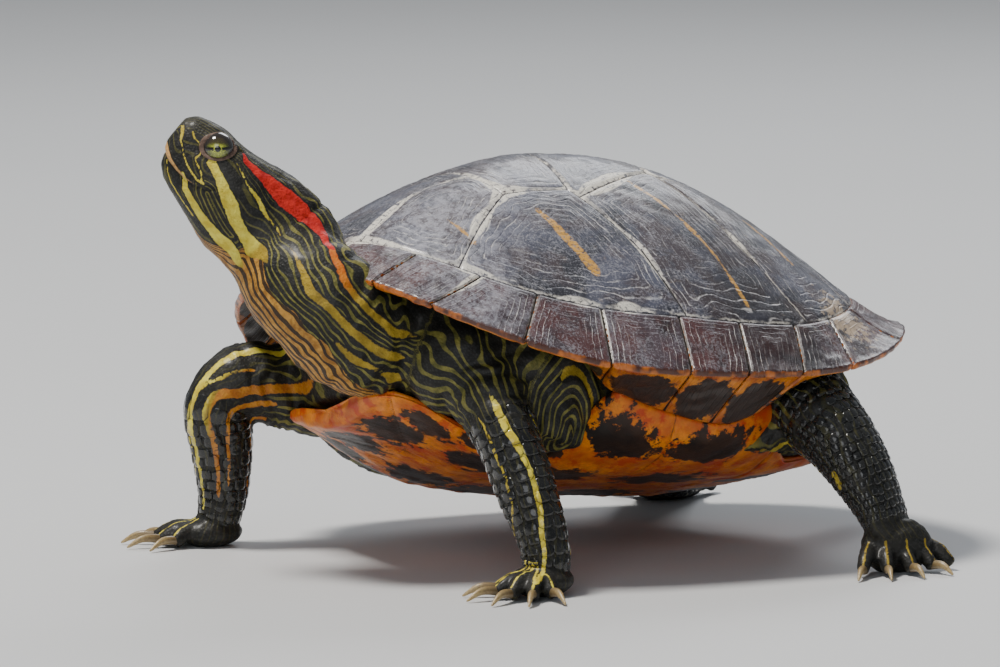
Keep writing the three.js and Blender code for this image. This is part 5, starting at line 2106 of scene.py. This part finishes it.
# %% Belly plate
BELLY_BLOTCHES = [               # x, distance from the midline, half length, half width
    (68, 14, 10, 13), (64, 32, 9, 6), (42, 22, 11, 13), (50, 38, 7, 3.5), (18, 24, 13, 15),
    (-18, 24, 15, 15), (-52, 20, 12, 11), (-74, 10, 8, 6), (10, 56, 14, 7.5),
    (-18, 57, 16, 7.5), (-42, 54, 6, 4), (32, 46, 6, 3),
]


def belly_marks(piece):
    """Adds the distance to the nearest dark figure, as a share of its size."""
    x, y = plan_of(piece)
    side = np.abs(y)
    shares = [np.hypot((x - px) / long, (side - py) / wide)
              for px, py, long, wide in BELLY_BLOTCHES]
    store(piece.data, "blotch", np.min(shares, axis=0))


belly_marks(plastron_plate)
mended(plastron_plate)
belly_horn, w = new_material("belly horn", Coat_Weight=0.08, Coat_Roughness=0.2,
                             Specular_IOR_Level=0.3)
flecks = w.use(FLECKS)
seam = w.use(SEAMS, Seam=w.attribute("seam"), Chalk=0.0)
amber = w.colour(w.span(w.noise(9.0, 4.0), 0.35, 0.65), (0.50, 0.075, 0.003), (0.84, 0.26, 0.010))
streaky = w.span(w.noise(1.4, 4.0, 0.7), 0.40, 0.62, 0.0, 0.45)
amber = w.colour(streaky, amber, (0.50, 0.15, 0.012))
flare = w.span(w.noise(5.5, 4.0, 0.65), 0.50, 0.62, 0.0, 0.75)
amber = w.colour(flare, amber, (0.50, 0.028, 0.004))
ragged = w.plus(w.attribute("blotch"), w.span(w.noise(4.5, 5.0, 0.68), 0.2, 0.8, -0.45, 0.45))
figure = w.fall(ragged, 0.86, 1.0)
amber = w.colour(figure, amber,
                 w.colour(flecks["Cloud"], (0.010, 0.007, 0.006), (0.040, 0.018, 0.010)))
amber = w.colour(w.times(seam["Crack"], 0.85), amber, (0.07, 0.022, 0.008))
w.shade(Base_Color=amber)
w.shade(Roughness=w.span(flecks["Grain"], 0.3, 0.7, 0.34, 0.50))
w.shade(Normal=w.bump(w.plus(seam["Height"], w.noise(3.0, 4.0)), 0.25))
finished(plastron_plate, belly_horn, ["plastron"])

# %% [markdown]
# ## Skin, scales, eyes and claws
#
# Skin and scales share one group for the stripes, so a stripe runs on over both. Wet skin
# has a thin clear coat. An iris has rings, the dark level bar of a slider and a painted lid shadow on
# its top.

# %% Skin
def stripes_of(w, ground):
    """The stripes group fed with this piece's attributes."""
    names = ("red", "yellow", "tan", "hue", "lines", "fine")
    values = {name.capitalize(): w.attribute(name) for name in names}
    return w.use(STRIPES, Ground=ground, **values)


hide_skin, w = new_material("skin", Coat_Weight=0.14, Coat_Roughness=0.22, Specular_IOR_Level=0.28)
hide = w.use(HIDE, Coarse=0.9)
cloud = w.noise(8.0, 4.0, 0.6)
ground = w.colour(w.span(cloud, 0.35, 0.65), (0.006, 0.006, 0.005), (0.018, 0.017, 0.014))
ground = w.colour(w.times(hide["Bead"], 0.30), ground, (0.045, 0.045, 0.042))
base = stripes_of(w, ground)["Colour"]
horny = w.colour(w.noise(1.5, 3.0), (0.44, 0.20, 0.055), (0.70, 0.44, 0.16))
base = w.colour(w.fall(w.attribute("beak"), -0.55, -0.15), base, horny)
lid = w.attribute("lid")
ring = w.times(w.span(lid, 0.90, 0.98), w.fall(lid, 1.24, 1.36))
pink = w.colour(w.noise(1.0, 3.0), (0.030, 0.017, 0.012), (0.24, 0.15, 0.11))
base = w.colour(ring, base, pink)
base = w.colour(w.fall(lid, 0.92, 1.02), base, (0.006, 0.005, 0.004))
w.shade(Base_Color=base)
w.shade(Roughness=w.span(hide["Bead"], 0.0, 1.0, 0.64, 0.50))
w.shade(Normal=w.bump(hide["Height"], 0.14, 0.8))
flesh = ("head", "jaw", "neck", "trunk", "tail", "leg", "foot")
finished(skin, hide_skin, [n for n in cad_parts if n.split("_")[0] in flesh])

# %% Scales
scale_horn, w = new_material("scales", Coat_Weight=0.9, Coat_Roughness=0.08,
                             Specular_IOR_Level=0.15)
ground = w.colour(w.attribute("tone"), (0.006, 0.006, 0.006), (0.017, 0.017, 0.016))
ground = w.colour(w.span(w.noise(1.3, 4.0), 0.50, 0.64, 0.0, 0.18), ground, (0.060, 0.060, 0.056))
base = stripes_of(w, ground)["Colour"]
base = w.colour(w.span(w.attribute("rim"), 0.80, 1.0, 0.0, 0.75), base, (0.006, 0.006, 0.006))
w.shade(Base_Color=base)
w.shade(Roughness=w.span(w.noise(1.0), 0.3, 0.7, 0.18, 0.36))
w.shade(Normal=w.bump(w.noise(0.8, 4.0), 0.08))
leg_nodes = [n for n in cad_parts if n.split("_")[0] in ("leg", "foot")]
finished(leg_scales, scale_horn, leg_nodes)

# %% Eyes
eye_gloss, w = new_material("eye", Roughness=0.12, Coat_Weight=1.0, Coat_Roughness=0.02)
across, raised = w.attribute("across"), w.attribute("raised")
radius = w.math("SQRT", w.plus(w.times(across, across), w.times(raised, raised)))
fibres = w.noise(0.35, 3.0, 0.7)
iris = w.colour(w.span(radius, 1.0, 3.3), (0.66, 0.72, 0.06), (0.12, 0.14, 0.018))
iris = w.colour(w.span(fibres, 0.40, 0.58, 0.0, 0.65), iris, (0.045, 0.045, 0.012))
# painted shadow of the upper lid: the top of the iris is darkened
iris = w.colour(w.span(raised, 0.7, 2.0, 0.0, 0.88), iris, (0.035, 0.022, 0.014))
rim = w.span(radius, 3.1, 3.7)
iris = w.colour(rim, iris, (0.02, 0.014, 0.01))
height = w.math("ABSOLUTE", w.plus(raised, w.span(fibres, 0.3, 0.7, -0.2, 0.2)))
bar = w.times(w.fall(height, 0.42, 0.60), w.span(radius, 1.15, 1.4))
iris = w.colour(bar, iris, (0.008, 0.006, 0.004))
iris = w.colour(w.fall(radius, 0.88, 0.98), iris, (0.002, 0.002, 0.002))
w.shade(Base_Color=iris)
w.shade(Normal=w.bump(w.noise(0.6), 0.02, 0.3))
finished(eyes, eye_gloss, ["eye_left", "eye_right"])

# %% Claws
claw_horn, w = new_material("claw horn", Coat_Weight=0.3, Coat_Roughness=0.2)
tip = w.attribute("tip")
horn = w.colour(w.span(tip, 0.15, 0.70), (0.045, 0.030, 0.015), (0.46, 0.34, 0.15))
lengthwise = w.span(w.noise(0.7, 3.0), 0.42, 0.6, 0.0, 0.45)
horn = w.colour(lengthwise, horn, (0.18, 0.10, 0.05))
w.shade(Base_Color=horn)
w.shade(Roughness=w.span(w.noise(0.5), 0.3, 0.7, 0.3, 0.5))
w.shade(Normal=w.bump(w.noise(0.6, 3.0), 0.06))
for name, piece in claw_pieces.items():
    numbers = range(1, LEGS[name]["claws"] + 1)
    finished(piece, claw_horn, ["claw_%s_%d" % (name, i) for i in numbers])

# %% [markdown]
# ## Floor and light
#
# The model stands on a plain pale floor. A broad lamp high in front gives the shell its soft
# sheen, a weaker one fills the near side, and the surroundings are a pale, even grey.

# %% Floor
FLOOR_EDGE = 4000.0
floor_plan = np.array([(-1, -1, 0), (1, -1, 0), (-1, 1, 0), (1, 1, 0)])
floor = new_piece("floor", floor_plan * FLOOR_EDGE, grid_faces(2, 2))
floor_paint, w = new_material("floor", Roughness=0.6)
shade = w.noise(400.0, 2.0)
w.shade(Base_Color=w.colour(shade, (0.60, 0.61, 0.62), (0.64, 0.65, 0.66)))
floor.data.materials.append(floor_paint)


# %% Lamps
def lamp(name, place, power, size, tint):
    """A square lamp at a place in metres, turned to the model."""
    data = bpy.data.lights.new(name, "AREA")
    data.energy, data.size, data.color = power, size, tint
    thing = bpy.data.objects.new(name, data)
    thing.location = place
    thing.rotation_euler = Vector(place).to_track_quat("Z", "Y").to_euler()
    bpy.context.scene.collection.objects.link(thing)


lamp("key", (0.75, -0.25, 2.1), 62, 0.45, (1.0, 0.96, 0.90))
lamp("fill", (1.1, 1.6, 0.9), 7, 1.0, (0.95, 0.97, 1.0))
lamp("rim", (-1.0, -1.2, 1.2), 10, 0.8, (0.95, 0.97, 1.0))
surroundings = bpy.data.worlds.new("studio")
bpy.context.scene.world = surroundings
surroundings.use_nodes = True
backdrop = surroundings.node_tree.nodes["Background"].inputs
backdrop["Color"].default_value = (0.78, 0.84, 0.92, 1)
backdrop["Strength"].default_value = 0.26
